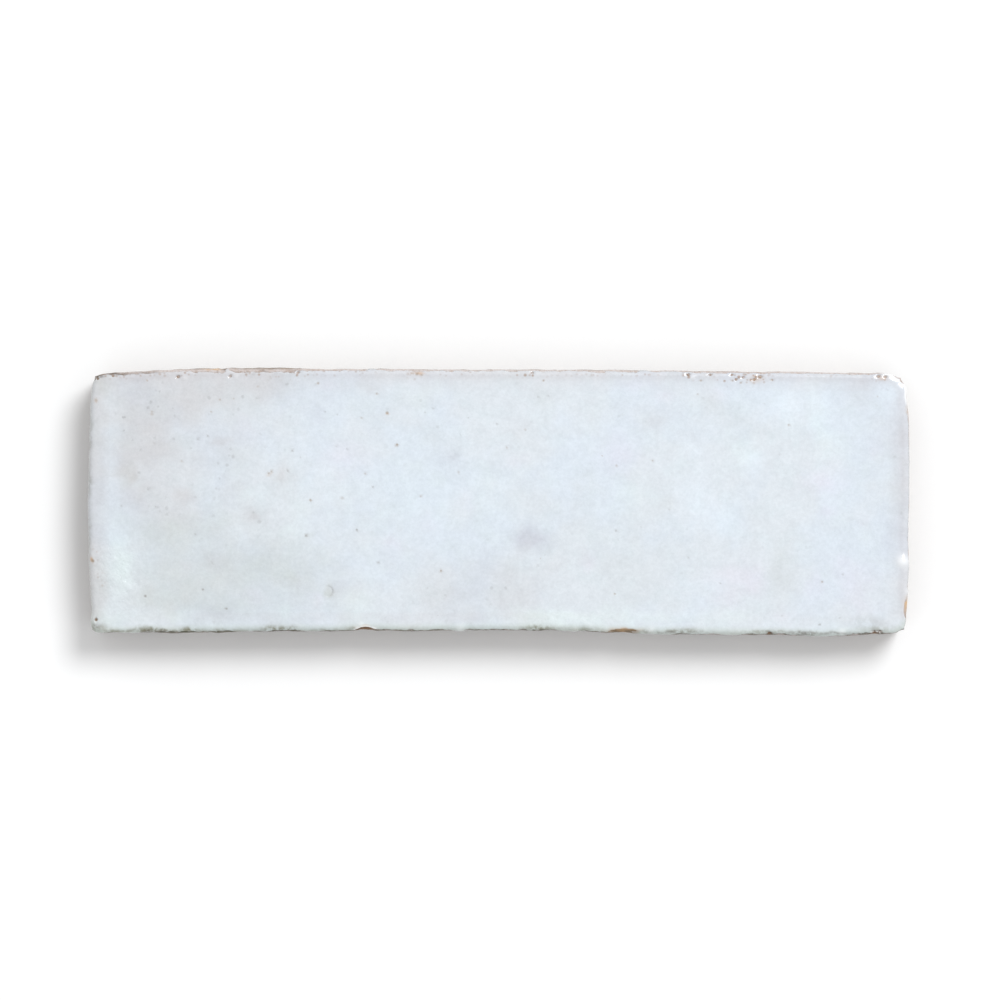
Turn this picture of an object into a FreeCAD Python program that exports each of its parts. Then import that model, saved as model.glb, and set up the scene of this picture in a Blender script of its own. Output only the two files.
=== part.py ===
import FreeCAD, Part
import math
import os

import Sketcher

# Subway wall tile: a hand-cut clay blank fired as one piece with its white glaze.
# Millimetres. The tile lies on its back at z = 0 with the glazed face up, the
# origin under the middle of its outline, +X along the tile and +Z out of the face.

Vector = FreeCAD.Vector
doc = FreeCAD.newDocument("subway_wall_tile")

# Sizes
# The outline is given at the shoulder, where the tile is widest; the undercut is how
# far the back stands in from it. A gap is how far a corner stands in from the full
# length (end gap) or the full width (edge gap).
sizes = {
    "length": 150.0,
    "width": 48.5,
    "thickness": 10.0,
    "shoulder_height": 7.6,
    "undercut": 0.5,
    "arris_radius": 1.1,
    "back_edge_radius": 0.5,
    "crown": 0.5,
    "upper_left_radius": 1.6,
    "upper_left_end_gap": 0.8,
    "upper_left_edge_gap": 0.9,
    "upper_right_radius": 3.6,
    "upper_right_end_gap": 0.7,
    "upper_right_edge_gap": 0.75,
    "lower_right_radius": 2.0,
    "lower_right_end_gap": 0.6,
    "lower_right_edge_gap": 0.12,
    "lower_left_radius": 1.9,
    "lower_left_end_gap": 0.7,
    "lower_left_edge_gap": 0.45,
    "upper_crest_x": -45.0,
    "lower_turn_x": 38.0,
    "lower_turn_gap": 0.2,
    "lower_chip_x": -24.3,
    "lower_chip_radius": 3.0,
    "lower_chip_bite": 1.05,
    "end_chip_y": -19.5,
    "end_chip_radius": 3.0,
    "end_chip_bite": 1.0,
    "lower_nick_from_end": 4.8,
    "lower_nick_radius": 7.0,
    "lower_nick_bite": 1.15,
}

# Slow swells and hollows of the face: centre x and y, half spans x and y, rise
face_waves = {
    "middle_hollow": (5.7, -7.0, 5.0, 3.6, -0.13),
    "left_hollow": (-44.0, -1.5, 6.5, 4.5, -0.10),
    "left_low_hollow": (-37.0, -14.0, 6.0, 4.0, -0.07),
    "inner_hollow": (-8.5, 8.0, 6.0, 4.5, -0.07),
    "upper_right_hollow": (27.6, 14.5, 9.0, 5.0, -0.08),
    "right_swell": (37.5, 2.5, 8.0, 6.0, 0.06),
    "upper_end_swell": (53.0, 15.5, 8.0, 5.0, 0.07),
    "lower_end_swell": (58.0, -10.0, 9.0, 7.0, 0.05),
    "middle_swell": (-22.0, -4.0, 10.0, 8.0, 0.05),
}

for name, wave in face_waves.items():
    for part, value in zip(("x", "y", "span_x", "span_y", "rise"), wave):
        sizes[name + "_" + part] = value

sheet = doc.addObject("Spreadsheet::Sheet", "sizes")
for row, (name, value) in enumerate(sizes.items(), start=1):
    sheet.set("A%d" % row, name)
    sheet.set("B%d" % row, str(value))
    sheet.setAlias("B%d" % row, name)
doc.recompute()


def size(name):
    return float(sheet.get(name))


half_length = size("length") / 2
half_width = size("width") / 2

# Waved face
# Crowned toward the middle, so the glaze is lowest where it rolls over the sides.
face_margin = 9.0
columns = 43
rows = 17


def face_height(x, y):
    fall = (x / half_length) ** 4 + (y / half_width) ** 2
    height = size("thickness") - size("crown") * fall / 2
    for name in face_waves:
        across = (x - size(name + "_x")) / size(name + "_span_x")
        along = (y - size(name + "_y")) / size(name + "_span_y")
        height += size(name + "_rise") * math.exp(-across * across - along * along)
    return height


face_points = []
for column in range(columns):
    x = (half_length + face_margin) * (2 * column / (columns - 1) - 1)
    line = []
    for row in range(rows):
        y = (half_width + face_margin) * (2 * row / (rows - 1) - 1)
        line.append(Vector(x, y, face_height(x, y)))
    face_points.append(line)
face_surface = Part.BSplineSurface()
face_surface.interpolate(face_points)
waved_face = doc.addObject("Part::Feature", "waved_face")
waved_face.Shape = face_surface.toShape()

# Body of the tile
tile = doc.addObject("PartDesign::Body", "wall_tile")


def origin_plane(role):
    return next(item for item in tile.Origin.OriginFeatures if item.Role == role)


outline = tile.newObject("Sketcher::SketchObject", "back_outline")
outline.AttachmentSupport = [(origin_plane("XY_Plane"), "")]
outline.MapMode = "FlatFace"


def constrain(kind, *places):
    return outline.addConstraint(Sketcher.Constraint(kind, *places))


def bind(expression, kind, *places):
    outline.setExpression("Constraints[%d]" % constrain(kind, *places), expression)


# A frame that the curved edges touch
undercut = size("undercut")
reach_x = half_length - undercut
reach_y = half_width - undercut
frame_corners = [
    Vector(-reach_x, -reach_y, 0),
    Vector(reach_x, -reach_y, 0),
    Vector(reach_x, reach_y, 0),
    Vector(-reach_x, reach_y, 0),
]
frame = []
for start, end in zip(frame_corners, frame_corners[1:] + frame_corners[:1]):
    frame.append(outline.addGeometry(Part.LineSegment(start, end), True))
lower_line, right_line, upper_line, left_line = frame
for line, following in zip(frame, frame[1:] + frame[:1]):
    constrain("Coincident", line, 2, following, 1)
constrain("Horizontal", lower_line)
constrain("Horizontal", upper_line)
constrain("Vertical", right_line)
constrain("Vertical", left_line)
constrain("Symmetric", lower_line, 1, upper_line, 1, -1, 1)
back_length = "sizes.length - 2 * sizes.undercut"
back_width = "sizes.width - 2 * sizes.undercut"
bind(back_length, "DistanceX", lower_line, 1, lower_line, 2, 2 * reach_x)
bind(back_width, "DistanceY", right_line, 1, right_line, 2, 2 * reach_y)


# Corners: name, direction from the middle, first angle of the arc
class Corner:
    def __init__(self, name, toward_x, toward_y, first_angle):
        self.name = name
        self.toward_x = toward_x
        self.toward_y = toward_y
        self.radius = size(name + "_radius") - undercut
        self.away_x = reach_x - size(name + "_end_gap") - self.radius
        self.away_y = reach_y - size(name + "_edge_gap") - self.radius
        self.centre = Vector(toward_x * self.away_x, toward_y * self.away_y, 0)
        self.edge_point = self.centre + Vector(0, toward_y * self.radius, 0)
        self.end_point = self.centre + Vector(toward_x * self.radius, 0, 0)
        circle = Part.Circle(self.centre, Vector(0, 0, 1), self.radius)
        start = math.radians(first_angle + 1)
        end = math.radians(first_angle + 89)
        self.arc = outline.addGeometry(Part.ArcOfCircle(circle, start, end), False)

    def hold(self):
        name = "sizes." + self.name
        origin, centre = (-1, 1), (self.arc, 3)
        across = origin + centre if self.toward_x > 0 else centre + origin
        along = origin + centre if self.toward_y > 0 else centre + origin
        from_end = "sizes.length / 2 - %s_end_gap - %s_radius" % (name, name)
        from_edge = "sizes.width / 2 - %s_edge_gap - %s_radius" % (name, name)
        bind(name + "_radius - sizes.undercut", "Radius", self.arc, self.radius)
        bind(from_end, "DistanceX", *across, self.away_x)
        bind(from_edge, "DistanceY", *along, self.away_y)


upper_right = Corner("upper_right", 1, 1, 0)
upper_left = Corner("upper_left", -1, 1, 90)
lower_left = Corner("lower_left", -1, -1, 180)
lower_right = Corner("lower_right", 1, -1, 270)

# Edges between the corners, each bowed a little
upper_crest = Vector(size("upper_crest_x"), reach_y, 0)
lower_turn = Vector(size("lower_turn_x"), -reach_y + size("lower_turn_gap"), 0)


def bowed_edge(start, end, bow):
    chord = end - start
    outward = Vector(chord.y, -chord.x, 0).normalize()
    middle = (start + end) * 0.5 + outward * bow
    return outline.addGeometry(Part.Arc(start, middle, end), False)


upper_long = bowed_edge(upper_right.edge_point, upper_crest, 0.15)
upper_short = bowed_edge(upper_crest, upper_left.edge_point, 0.2)
left_end = bowed_edge(upper_left.end_point, lower_left.end_point, 0.75)
lower_long = bowed_edge(lower_turn, lower_left.edge_point, 0.3)
lower_short = bowed_edge(lower_turn, lower_right.edge_point, 0.2)
right_end = bowed_edge(lower_right.end_point, upper_right.end_point, 0.65)

constrain("Tangent", upper_right.arc, 2, upper_long, 1)
constrain("Tangent", upper_long, 2, upper_short, 1)
constrain("Tangent", upper_short, 2, upper_left.arc, 1)
constrain("Tangent", upper_left.arc, 2, left_end, 1)
constrain("Tangent", left_end, 2, lower_left.arc, 1)
constrain("Tangent", lower_left.arc, 2, lower_long, 2)
constrain("Tangent", lower_long, 1, lower_short, 1)
constrain("Tangent", lower_short, 2, lower_right.arc, 1)
constrain("Tangent", lower_right.arc, 2, right_end, 1)
constrain("Tangent", right_end, 2, upper_right.arc, 1)
for corner in (upper_right, upper_left, lower_left, lower_right):
    corner.hold()
constrain("Tangent", left_end, left_line)
constrain("Tangent", right_end, right_line)
constrain("Tangent", lower_short, lower_line)
constrain("PointOnObject", upper_long, 2, upper_line)
constrain("Vertical", upper_long, 3, upper_long, 2)
bind("sizes.upper_crest_x", "DistanceX", -1, 1, upper_long, 2, size("upper_crest_x"))
bind("sizes.lower_turn_x", "DistanceX", -1, 1, lower_short, 1, size("lower_turn_x"))
bind("sizes.lower_turn_gap", "DistanceY", lower_line, 1, lower_short, 1, size("lower_turn_gap"))

# How far out the hollow lower edge is where it is chipped, read from the sketch
chip_x = size("lower_chip_x")
chip_mark = outline.addGeometry(Part.Point(Vector(chip_x, -reach_y, 0)), True)
constrain("PointOnObject", chip_mark, 1, lower_long)
bind("sizes.lower_chip_x", "DistanceX", -1, 1, chip_mark, 1, chip_x)
chip_edge = constrain("DistanceY", chip_mark, 1, -1, 1, reach_y)
outline.setDriving(chip_edge, False)
outline.renameConstraint(chip_edge, "lower_chip_edge")

# Sides: widening from the back to the shoulder, then straight up to the waved face
blank = tile.newObject("PartDesign::Pad", "blank")
blank.Profile = outline
blank.setExpression("Length", "sizes.shoulder_height")
blank.setExpression("TaperAngle", "atan(sizes.undercut / sizes.shoulder_height)")
doc.recompute()


def is_shoulder(face):
    return abs(face.BoundBox.ZMin - size("shoulder_height")) < 0.001


shoulder_faces = [number for number, face in enumerate(blank.Shape.Faces, start=1) if is_shoulder(face)]
rim = tile.newObject("PartDesign::Pad", "rim")
rim.Profile = (blank, ["Face%d" % number for number in shoulder_faces])
rim.Type = "UpToFace"
rim.UpToFace = (waved_face, ["Face1"])
doc.recompute()


def edges_of(shape, wanted):
    return ["Edge%d" % (index + 1) for index, edge in enumerate(shape.Edges) if wanted(edge)]


def round_edges(name, base, wanted, radius):
    rounding = tile.newObject("PartDesign::Fillet", name)
    rounding.Base = (base, edges_of(base.Shape, wanted))
    rounding.setExpression("Radius", radius)
    doc.recompute()
    return rounding


def on_the_face(edge):
    return min(vertex.Z for vertex in edge.Vertexes) > size("shoulder_height") + 0.2


def on_the_back(edge):
    return max(vertex.Z for vertex in edge.Vertexes) < 0.001


arris = round_edges("arris", rim, on_the_face, "sizes.arris_radius")
back_edge = round_edges("back_edge", arris, on_the_back, "sizes.back_edge_radius")


# Chips, each a ball cut out of the rim
rim_height = "sizes.thickness - sizes.crown / 2"


def ball_cut(name, across, along, up):
    cut = tile.newObject("PartDesign::SubtractiveSphere", name)
    cut.AttachmentSupport = [(origin_plane("XY_Plane"), "")]
    cut.MapMode = "FlatFace"
    cut.setExpression("Radius", "sizes.%s_radius" % name)
    for axis, expression in zip("xyz", (across, along, up)):
        cut.setExpression("AttachmentOffset.Base." + axis, expression)
    faces_before = len(tile.Shape.Faces)
    doc.recompute()
    if len(tile.Shape.Faces) <= faces_before:
        raise RuntimeError(name + " missed the tile")


def stand_off(name):
    # a chip's ball stands up and out from the rim, halfway between the two
    return "(sizes.%s_radius - sizes.%s_bite) / sqrt(2)" % (name, name)


lower_edge = "-back_outline.Constraints.lower_chip_edge - sizes.undercut * 1 mm"
ball_cut(
    "lower_chip",
    "sizes.lower_chip_x",
    lower_edge + " - 1 mm * " + stand_off("lower_chip"),
    rim_height + " + " + stand_off("lower_chip"),
)
ball_cut(
    "end_chip",
    "sizes.length / 2 - sizes.lower_right_end_gap + " + stand_off("end_chip"),
    "sizes.end_chip_y",
    rim_height + " + " + stand_off("end_chip"),
)
ball_cut(
    "lower_nick",
    "sizes.length / 2 - sizes.lower_nick_from_end",
    "-sizes.width / 2 - " + stand_off("lower_nick"),
    rim_height + " + " + stand_off("lower_nick"),
)
doc.recompute()

for item in doc.Objects:
    if "Invalid" in item.State or "Error" in item.State:
        raise RuntimeError(item.Name + " did not compute")
if tile.Shape.isNull() or not tile.Shape.isValid():
    raise RuntimeError("the tile's shape is not valid")

tile.Label = "wall_tile"
os.makedirs("parts", exist_ok=True)
tile.Shape.exportStep(os.path.join("parts", tile.Label + ".step"))
print("%s: %.1f mm3, %d faces" % (tile.Label, tile.Shape.Volume, len(tile.Shape.Faces)))
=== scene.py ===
import math

import bmesh
import bpy
import numpy as np
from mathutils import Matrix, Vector, noise
from mathutils.bvhtree import BVHTree


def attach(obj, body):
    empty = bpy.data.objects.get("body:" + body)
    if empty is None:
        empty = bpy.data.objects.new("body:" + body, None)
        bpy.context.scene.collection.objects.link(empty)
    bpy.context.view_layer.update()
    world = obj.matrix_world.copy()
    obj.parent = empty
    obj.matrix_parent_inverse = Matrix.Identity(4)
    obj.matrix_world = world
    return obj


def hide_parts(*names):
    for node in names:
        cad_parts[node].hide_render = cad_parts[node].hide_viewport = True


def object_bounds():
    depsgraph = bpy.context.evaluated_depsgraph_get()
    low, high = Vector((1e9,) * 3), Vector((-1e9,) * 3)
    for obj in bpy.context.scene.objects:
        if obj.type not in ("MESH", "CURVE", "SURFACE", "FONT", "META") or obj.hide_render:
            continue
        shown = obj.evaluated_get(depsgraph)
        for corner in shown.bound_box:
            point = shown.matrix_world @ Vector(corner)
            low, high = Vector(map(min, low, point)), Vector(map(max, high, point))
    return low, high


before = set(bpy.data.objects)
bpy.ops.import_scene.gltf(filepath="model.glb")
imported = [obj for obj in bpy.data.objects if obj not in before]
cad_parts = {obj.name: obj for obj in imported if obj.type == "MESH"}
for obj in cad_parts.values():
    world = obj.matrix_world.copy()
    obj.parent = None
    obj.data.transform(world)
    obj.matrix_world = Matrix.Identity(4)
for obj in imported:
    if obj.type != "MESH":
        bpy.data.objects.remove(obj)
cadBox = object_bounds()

# Hand-glazed wall tile lying face up. Shapes are worked out in millimetres from the
# CAD tile and turned into metres when a mesh is made. The photo's up is +Y.
mm = 0.001

# What is read off the CAD tile, and how its rim is rounded again
tileForm = {
    "node": "wall_tile",
    "inset": 4.2,                  # from the outline in to the middle grid
    "cornerTurn": 6.0,             # stretch of rim rows that swings round each corner
    "shoulder": 8.0,               # height at which the tile is widest
    "foot": 0.8,                   # height at which the outline near the back is read
    "heightSpan": (72.0, 21.0),    # half spans of the grid of heights read off the face
    "heightStep": 1.5,             # its spacing
    "heightMargin": 5,             # rows by which it is carried on outward
    "above": 30.0,                 # height that the face is looked down on from
    "rimRadius": 1.1,
    "backRadius": 0.5,
    "rimBend": 0.56,               # angle at which a worn rim turns from wide to tight
    "wobble": 0.10,                # unevenness of the outline
    "wobbleLength": 4.0,
    "ripple": 0.07,                # finer unevenness on top of it
    "rippleLength": 1.5,
    "footWobble": 0.5,             # share of it that reaches the foot
    "rimChange": 0.12,             # slow change of the rim's radius
    "rimLength": 9.0,
    "wornCorner": (73.2, 21.6),    # slopes off gently, then breaks
    "wornWide": 1.5,               # added to the rim radius before the bend
    "wornTight": 0.75,             # taken off it after the bend
    "wornReach": 3.8,
    "nudges": [                    # x, y, reach, outward shift of the outline
        (-48, 24.2, 20, 0.2), (74.9, 13, 7, 0.34), (-36, -23.4, 12, 0.12), (42, -24, 14, 0.2),
        (-74.2, -20.5, 4, -0.22), (74.6, -19.6, 3, 0.22), (72.9, 23.2, 2.5, -0.06), (20, 24, 16, 0.08),
        (-71.5, -22.9, 2.5, 0.2), (-50.3, 24.3, 0.5, -0.22), (74.9, -8, 8, -0.12),
        (-74.3, 23.1, 1.5, -0.2), (-74.9, 4, 18, -0.16), (74.4, 20.9, 1.3, 0.28),
        (-56, -23.8, 18, 0.3), (-73.6, -22.8, 1.8, 0.34), (-28, -23.8, 8, 0.12), (30, -23.9, 7, 0.24),
        (61, -24, 6, 0.22), (-74.6, -16, 6, -0.14), (73.6, -23.4, 1.2, -0.15), (-14, -23.4, 5, 0.2),
        (8, -23.4, 4, -0.08), (21.5, -23.8, 4, 0.1), (58.5, -24, 3.5, 0.14), (-72, -23, 2, -0.1),
    ],
}


def smoothStep(value):
    value = np.clip(value, 0.0, 1.0)
    return value * value * (3.0 - 2.0 * value)


# Where in the noise each kind of unevenness is read
noisePlaces = {
    "outline": 1.0, "rim": 2.0, "slowRun": 3.0, "fineRun": 4.0, "drips": 5.0, "chips": 6.0,
    "swell": 7.0, "dimple": 8.0, "froth": 9.0, "grain": 11.0, "drag": 12.0, "comb": 14.0,
    "ripple": 15.0, "frothyPlaces": 20.0, "tones": 30.0, "stains": 40.0,
}


noiseApart = (13.7, 7.9, 4.3)    # what lies between one place and the next


def unevenness(points, wavelength, kind, octaves=3, further=0.0):
    place = noisePlaces[kind] + further
    shift = Vector([place * apart for apart in noiseApart])
    return np.array([
        noise.fractal(Vector(point) / wavelength + shift, 1.0, 2.0, octaves)
        for point in points
    ])


def distanceTo(points, place):
    return np.hypot(points[:, 0] - place[0], points[:, 1] - place[1])


def fallOff(points, place, reach, power=2):
    # 1 at the place, fading out round it
    return np.exp(-(distanceTo(points, place) / reach) ** power)


def readCadTile():
    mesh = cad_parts[tileForm["node"]].data
    points = [vertex.co / mm for vertex in mesh.vertices]
    polygons = [tuple(polygon.vertices) for polygon in mesh.polygons]
    return BVHTree.FromPolygons(points, polygons)


cadTile = readCadTile()
halfLength = cadBox[1][0] / mm
halfWidth = cadBox[1][1] / mm


def readFaceHeights():
    # a grid of heights inside the roll-over, carried on outward past the rim
    step = tileForm["heightStep"]
    spanX, spanY = tileForm["heightSpan"]
    across = np.arange(-spanX, spanX + 0.01, step)
    along = np.arange(-spanY, spanY + 0.01, step)
    heights = np.zeros((len(across), len(along)))
    for i, x in enumerate(across):
        for j, y in enumerate(along):
            hit = cadTile.ray_cast(Vector((x, y, tileForm["above"])), Vector((0, 0, -1)))[0]
            heights[i, j] = hit.z
    margin = tileForm["heightMargin"]
    return across[0], along[0], np.pad(heights, margin, mode="reflect", reflect_type="odd")


heightStartX, heightStartY, faceHeights = readFaceHeights()


def splineWeights(part):
    return (
        (1 - part) ** 3 / 6,
        (3 * part ** 3 - 6 * part ** 2 + 4) / 6,
        (-3 * part ** 3 + 3 * part ** 2 + 3 * part + 1) / 6,
        part ** 3 / 6,
    )


def faceHeight(x, y):
    # smooth surface through the heights read off the CAD tile
    step, margin = tileForm["heightStep"], tileForm["heightMargin"]
    u = np.clip((x - heightStartX) / step + margin, 1, faceHeights.shape[0] - 3.001)
    v = np.clip((y - heightStartY) / step + margin, 1, faceHeights.shape[1] - 3.001)
    column, row = np.floor(u).astype(int), np.floor(v).astype(int)
    total = np.zeros(np.shape(u))
    for i, weightX in enumerate(splineWeights(u - column)):
        for j, weightY in enumerate(splineWeights(v - row)):
            total = total + weightX * weightY * faceHeights[column + i - 1, row + j - 1]
    return total


def gradedLine(half, band, fineStep, coarseStep):
    inner = half - band
    fine = max(1, round(band / fineStep))
    coarse = max(1, round(2 * inner / coarseStep))
    start = np.linspace(-half, -inner, fine + 1)[:-1]
    middle = np.linspace(-inner, inner, coarse + 1)
    end = np.linspace(inner, half, fine + 1)[1:]
    return np.concatenate([start, middle, end])


def outlineAt(starts, directions, height, smoothing):
    # distance from each start to the side of the CAD tile, along its direction
    reach = 15.0
    runs = []
    for start, direction in zip(starts, directions):
        origin = Vector((start[0] + direction[0] * reach, start[1] + direction[1] * reach, height))
        hit = cadTile.ray_cast(origin, Vector((-direction[0], -direction[1], 0)))[0]
        runs.append(math.hypot(hit.x - start[0], hit.y - start[1]))
    runs = np.array(runs)
    for _ in range(smoothing):
        runs = (np.roll(runs, 1) + 2 * runs + np.roll(runs, -1)) / 4
    return runs


def rimLoop(columns, rows):
    # the middle grid's border, counter-clockwise from its lower left corner
    lower = [(i, 0) for i in range(columns)]
    right = [(columns - 1, j) for j in range(1, rows)]
    upper = [(i, rows - 1) for i in range(columns - 2, -1, -1)]
    left = [(0, j) for j in range(rows - 2, 0, -1)]
    return lower + right + upper + left


def rimDirections(lineX, lineY, loop):
    # straight out from each side, swinging to the diagonal at the corners
    turn = tileForm["cornerTurn"]
    endX, endY = lineX[-1], lineY[-1]
    directions = []
    for i, j in loop:
        x, y = lineX[i], lineY[j]
        towardX = smoothStep(1 - (endX - abs(x)) / turn) * math.copysign(1, x)
        towardY = smoothStep(1 - (endY - abs(y)) / turn) * math.copysign(1, y)
        direction = Vector((float(towardX), float(towardY)))
        directions.append(tuple(direction.normalized()))
    return np.array(directions)


# The run of a point is its distance over the rim along the surface. These stand for
# the middle of the face, the back's round edge, the back and the glaze's hidden floor.
faceRun, backEdgeRun, backRun, insideRun = -9.0, 20.0, 30.0, 60.0


class TileSkin:
    # rows of points over the tile: a middle grid, then loops out and down the sides

    def __init__(self, cell, rimCell):
        inset = tileForm["inset"]
        band = tileForm["cornerTurn"]
        self.lineX = gradedLine(halfLength - inset, band, rimCell, cell)
        self.lineY = gradedLine(halfWidth - inset, band, rimCell, cell)
        self.loop = rimLoop(len(self.lineX), len(self.lineY))
        self.count = len(self.loop)
        self.points, self.runs, self.faces, self.size = [], [], [], 0
        self.lastLoop = self.gridBorder()
        self.addGrid(faceHeight, faceRun, True)
        self.starts = self.points[0][self.lastLoop][:, :2]
        self.directions = rimDirections(self.lineX, self.lineY, self.loop)
        self.readOutline()

    def gridBorder(self):
        # the points round the next grid, by number
        columns = len(self.lineX)
        return [self.size + j * columns + i for i, j in self.loop]

    def addGrid(self, heightAt, run, faceUp):
        columns, rows = len(self.lineX), len(self.lineY)
        gridX, gridY = np.meshgrid(self.lineX, self.lineY)
        heights = heightAt(gridX, gridY)
        self.points.append(np.column_stack([gridX.ravel(), gridY.ravel(), heights.ravel()]))
        self.runs.append(np.full(gridX.size, run))
        for j in range(rows - 1):
            for i in range(columns - 1):
                first = self.size + j * columns + i
                far = first + columns + 1
                sides = (first + 1, far, far - 1) if faceUp else (far - 1, far, first + 1)
                self.faces.append((first,) + sides)
        self.size += gridX.size

    def joinLoops(self, last, fresh):
        for k in range(self.count):
            after = (k + 1) % self.count
            self.faces.append((last[k], fresh[k], fresh[after], last[after]))

    def readOutline(self):
        shoulder = outlineAt(self.starts, self.directions, tileForm["shoulder"], smoothing=3)
        foot = outlineAt(self.starts, self.directions, tileForm["foot"], smoothing=3)
        edge = self.starts + self.directions * shoulder[:, None]
        solid = np.column_stack([edge, np.zeros(len(edge))])
        wobble = tileForm["wobble"] * unevenness(solid, tileForm["wobbleLength"], "outline", 4)
        wobble += tileForm["ripple"] * unevenness(solid, tileForm["rippleLength"], "ripple", 2)
        for *place, reach, shift in tileForm["nudges"]:
            wobble = wobble + shift * fallOff(edge, place, reach)
        self.out = shoulder + wobble
        self.foot = foot + wobble * tileForm["footWobble"]
        self.edge = self.starts + self.directions * self.out[:, None]
        worn = fallOff(self.edge, tileForm["wornCorner"], tileForm["wornReach"])
        change = unevenness(solid, tileForm["rimLength"], "rim", 2)
        radius = tileForm["rimRadius"] + tileForm["rimChange"] * change
        self.wide = radius + tileForm["wornWide"] * worn
        self.tight = radius - tileForm["wornTight"] * worn
        self.rimWidth, self.rimDrop, self.rimRun = self.rimArc(math.pi / 2)
        brink = self.edge - self.directions * self.rimWidth[:, None]
        self.rimHeight = faceHeight(brink[:, 0], brink[:, 1])

    def rimArc(self, angle):
        # how far out, down and along the surface the roll-over has got at an angle
        bend = tileForm["rimBend"]
        near, past = min(angle, bend), max(angle, bend)
        out = self.wide * math.sin(near) + self.tight * (math.sin(past) - math.sin(bend))
        down = self.wide * (1 - math.cos(near)) + self.tight * (math.cos(bend) - math.cos(past))
        return out, down, self.wide * near + self.tight * (past - bend)

    def addLoop(self, flat, heights, run):
        self.points.append(np.column_stack([flat, heights]))
        self.runs.append(np.broadcast_to(run, self.count).astype(float))
        fresh = list(range(self.size, self.size + self.count))
        self.joinLoops(self.lastLoop, fresh)
        self.lastLoop = fresh
        self.size += self.count

    def addFlatRows(self, rows):
        # from the middle grid out to where the roll-over starts
        width = self.out - self.rimWidth
        for part in np.linspace(0, 1, rows + 1)[1:]:
            flat = self.starts + self.directions * (width * part)[:, None]
            self.addLoop(flat, faceHeight(flat[:, 0], flat[:, 1]), (part - 1) * width)

    def addRimRows(self, rows):
        for angle in np.linspace(0, math.pi / 2, rows + 1)[1:]:
            out, down, run = self.rimArc(angle)
            flat = self.edge - self.directions * (self.rimWidth - out)[:, None]
            self.addLoop(flat, self.rimHeight - down, run)

    def sidePlace(self, heights):
        # the sides lean in from the shoulder to the foot
        shoulder, foot = tileForm["shoulder"], tileForm["foot"]
        part = np.clip((heights - foot) / (shoulder - foot), 0, 1)
        out = self.foot + (self.out - self.foot) * part
        return self.starts + self.directions * out[:, None]

    def addSideRows(self, rows, lowest):
        top = self.rimHeight - self.rimDrop
        for part in np.linspace(0, 1, rows + 1)[1:]:
            heights = top + (lowest - top) * part
            run = self.rimRun + top - heights
            self.addLoop(self.sidePlace(heights), heights, run)

    def addBackRows(self, bendRows, flatRows):
        # round the back edge, then in to a grid that closes the back
        radius = tileForm["backRadius"]
        foot = self.sidePlace(np.full(self.count, radius))
        for angle in np.linspace(0, math.pi / 2, bendRows + 1)[1:]:
            flat = foot - self.directions * (radius * (1 - math.cos(angle)))
            self.addLoop(flat, np.full(self.count, radius * (1 - math.sin(angle))), backEdgeRun)
        brink = foot - self.directions * radius
        for part in np.linspace(0, 1, flatRows + 1)[1:-1]:
            flat = brink + (self.starts - brink) * part
            self.addLoop(flat, np.zeros(self.count), backRun)
        self.joinLoops(self.lastLoop, self.gridBorder())
        self.addGrid(lambda x, y: np.zeros(x.shape), backRun, False)

    def closeInside(self, inward):
        # a hidden floor inside the clay, so that the glaze is a closed shell
        height = self.points[-1][:, 2]
        flat = self.points[-1][:, :2] - self.directions * inward
        self.addLoop(flat, height, insideRun)
        self.faces.append(tuple(reversed(self.lastLoop)))


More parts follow.
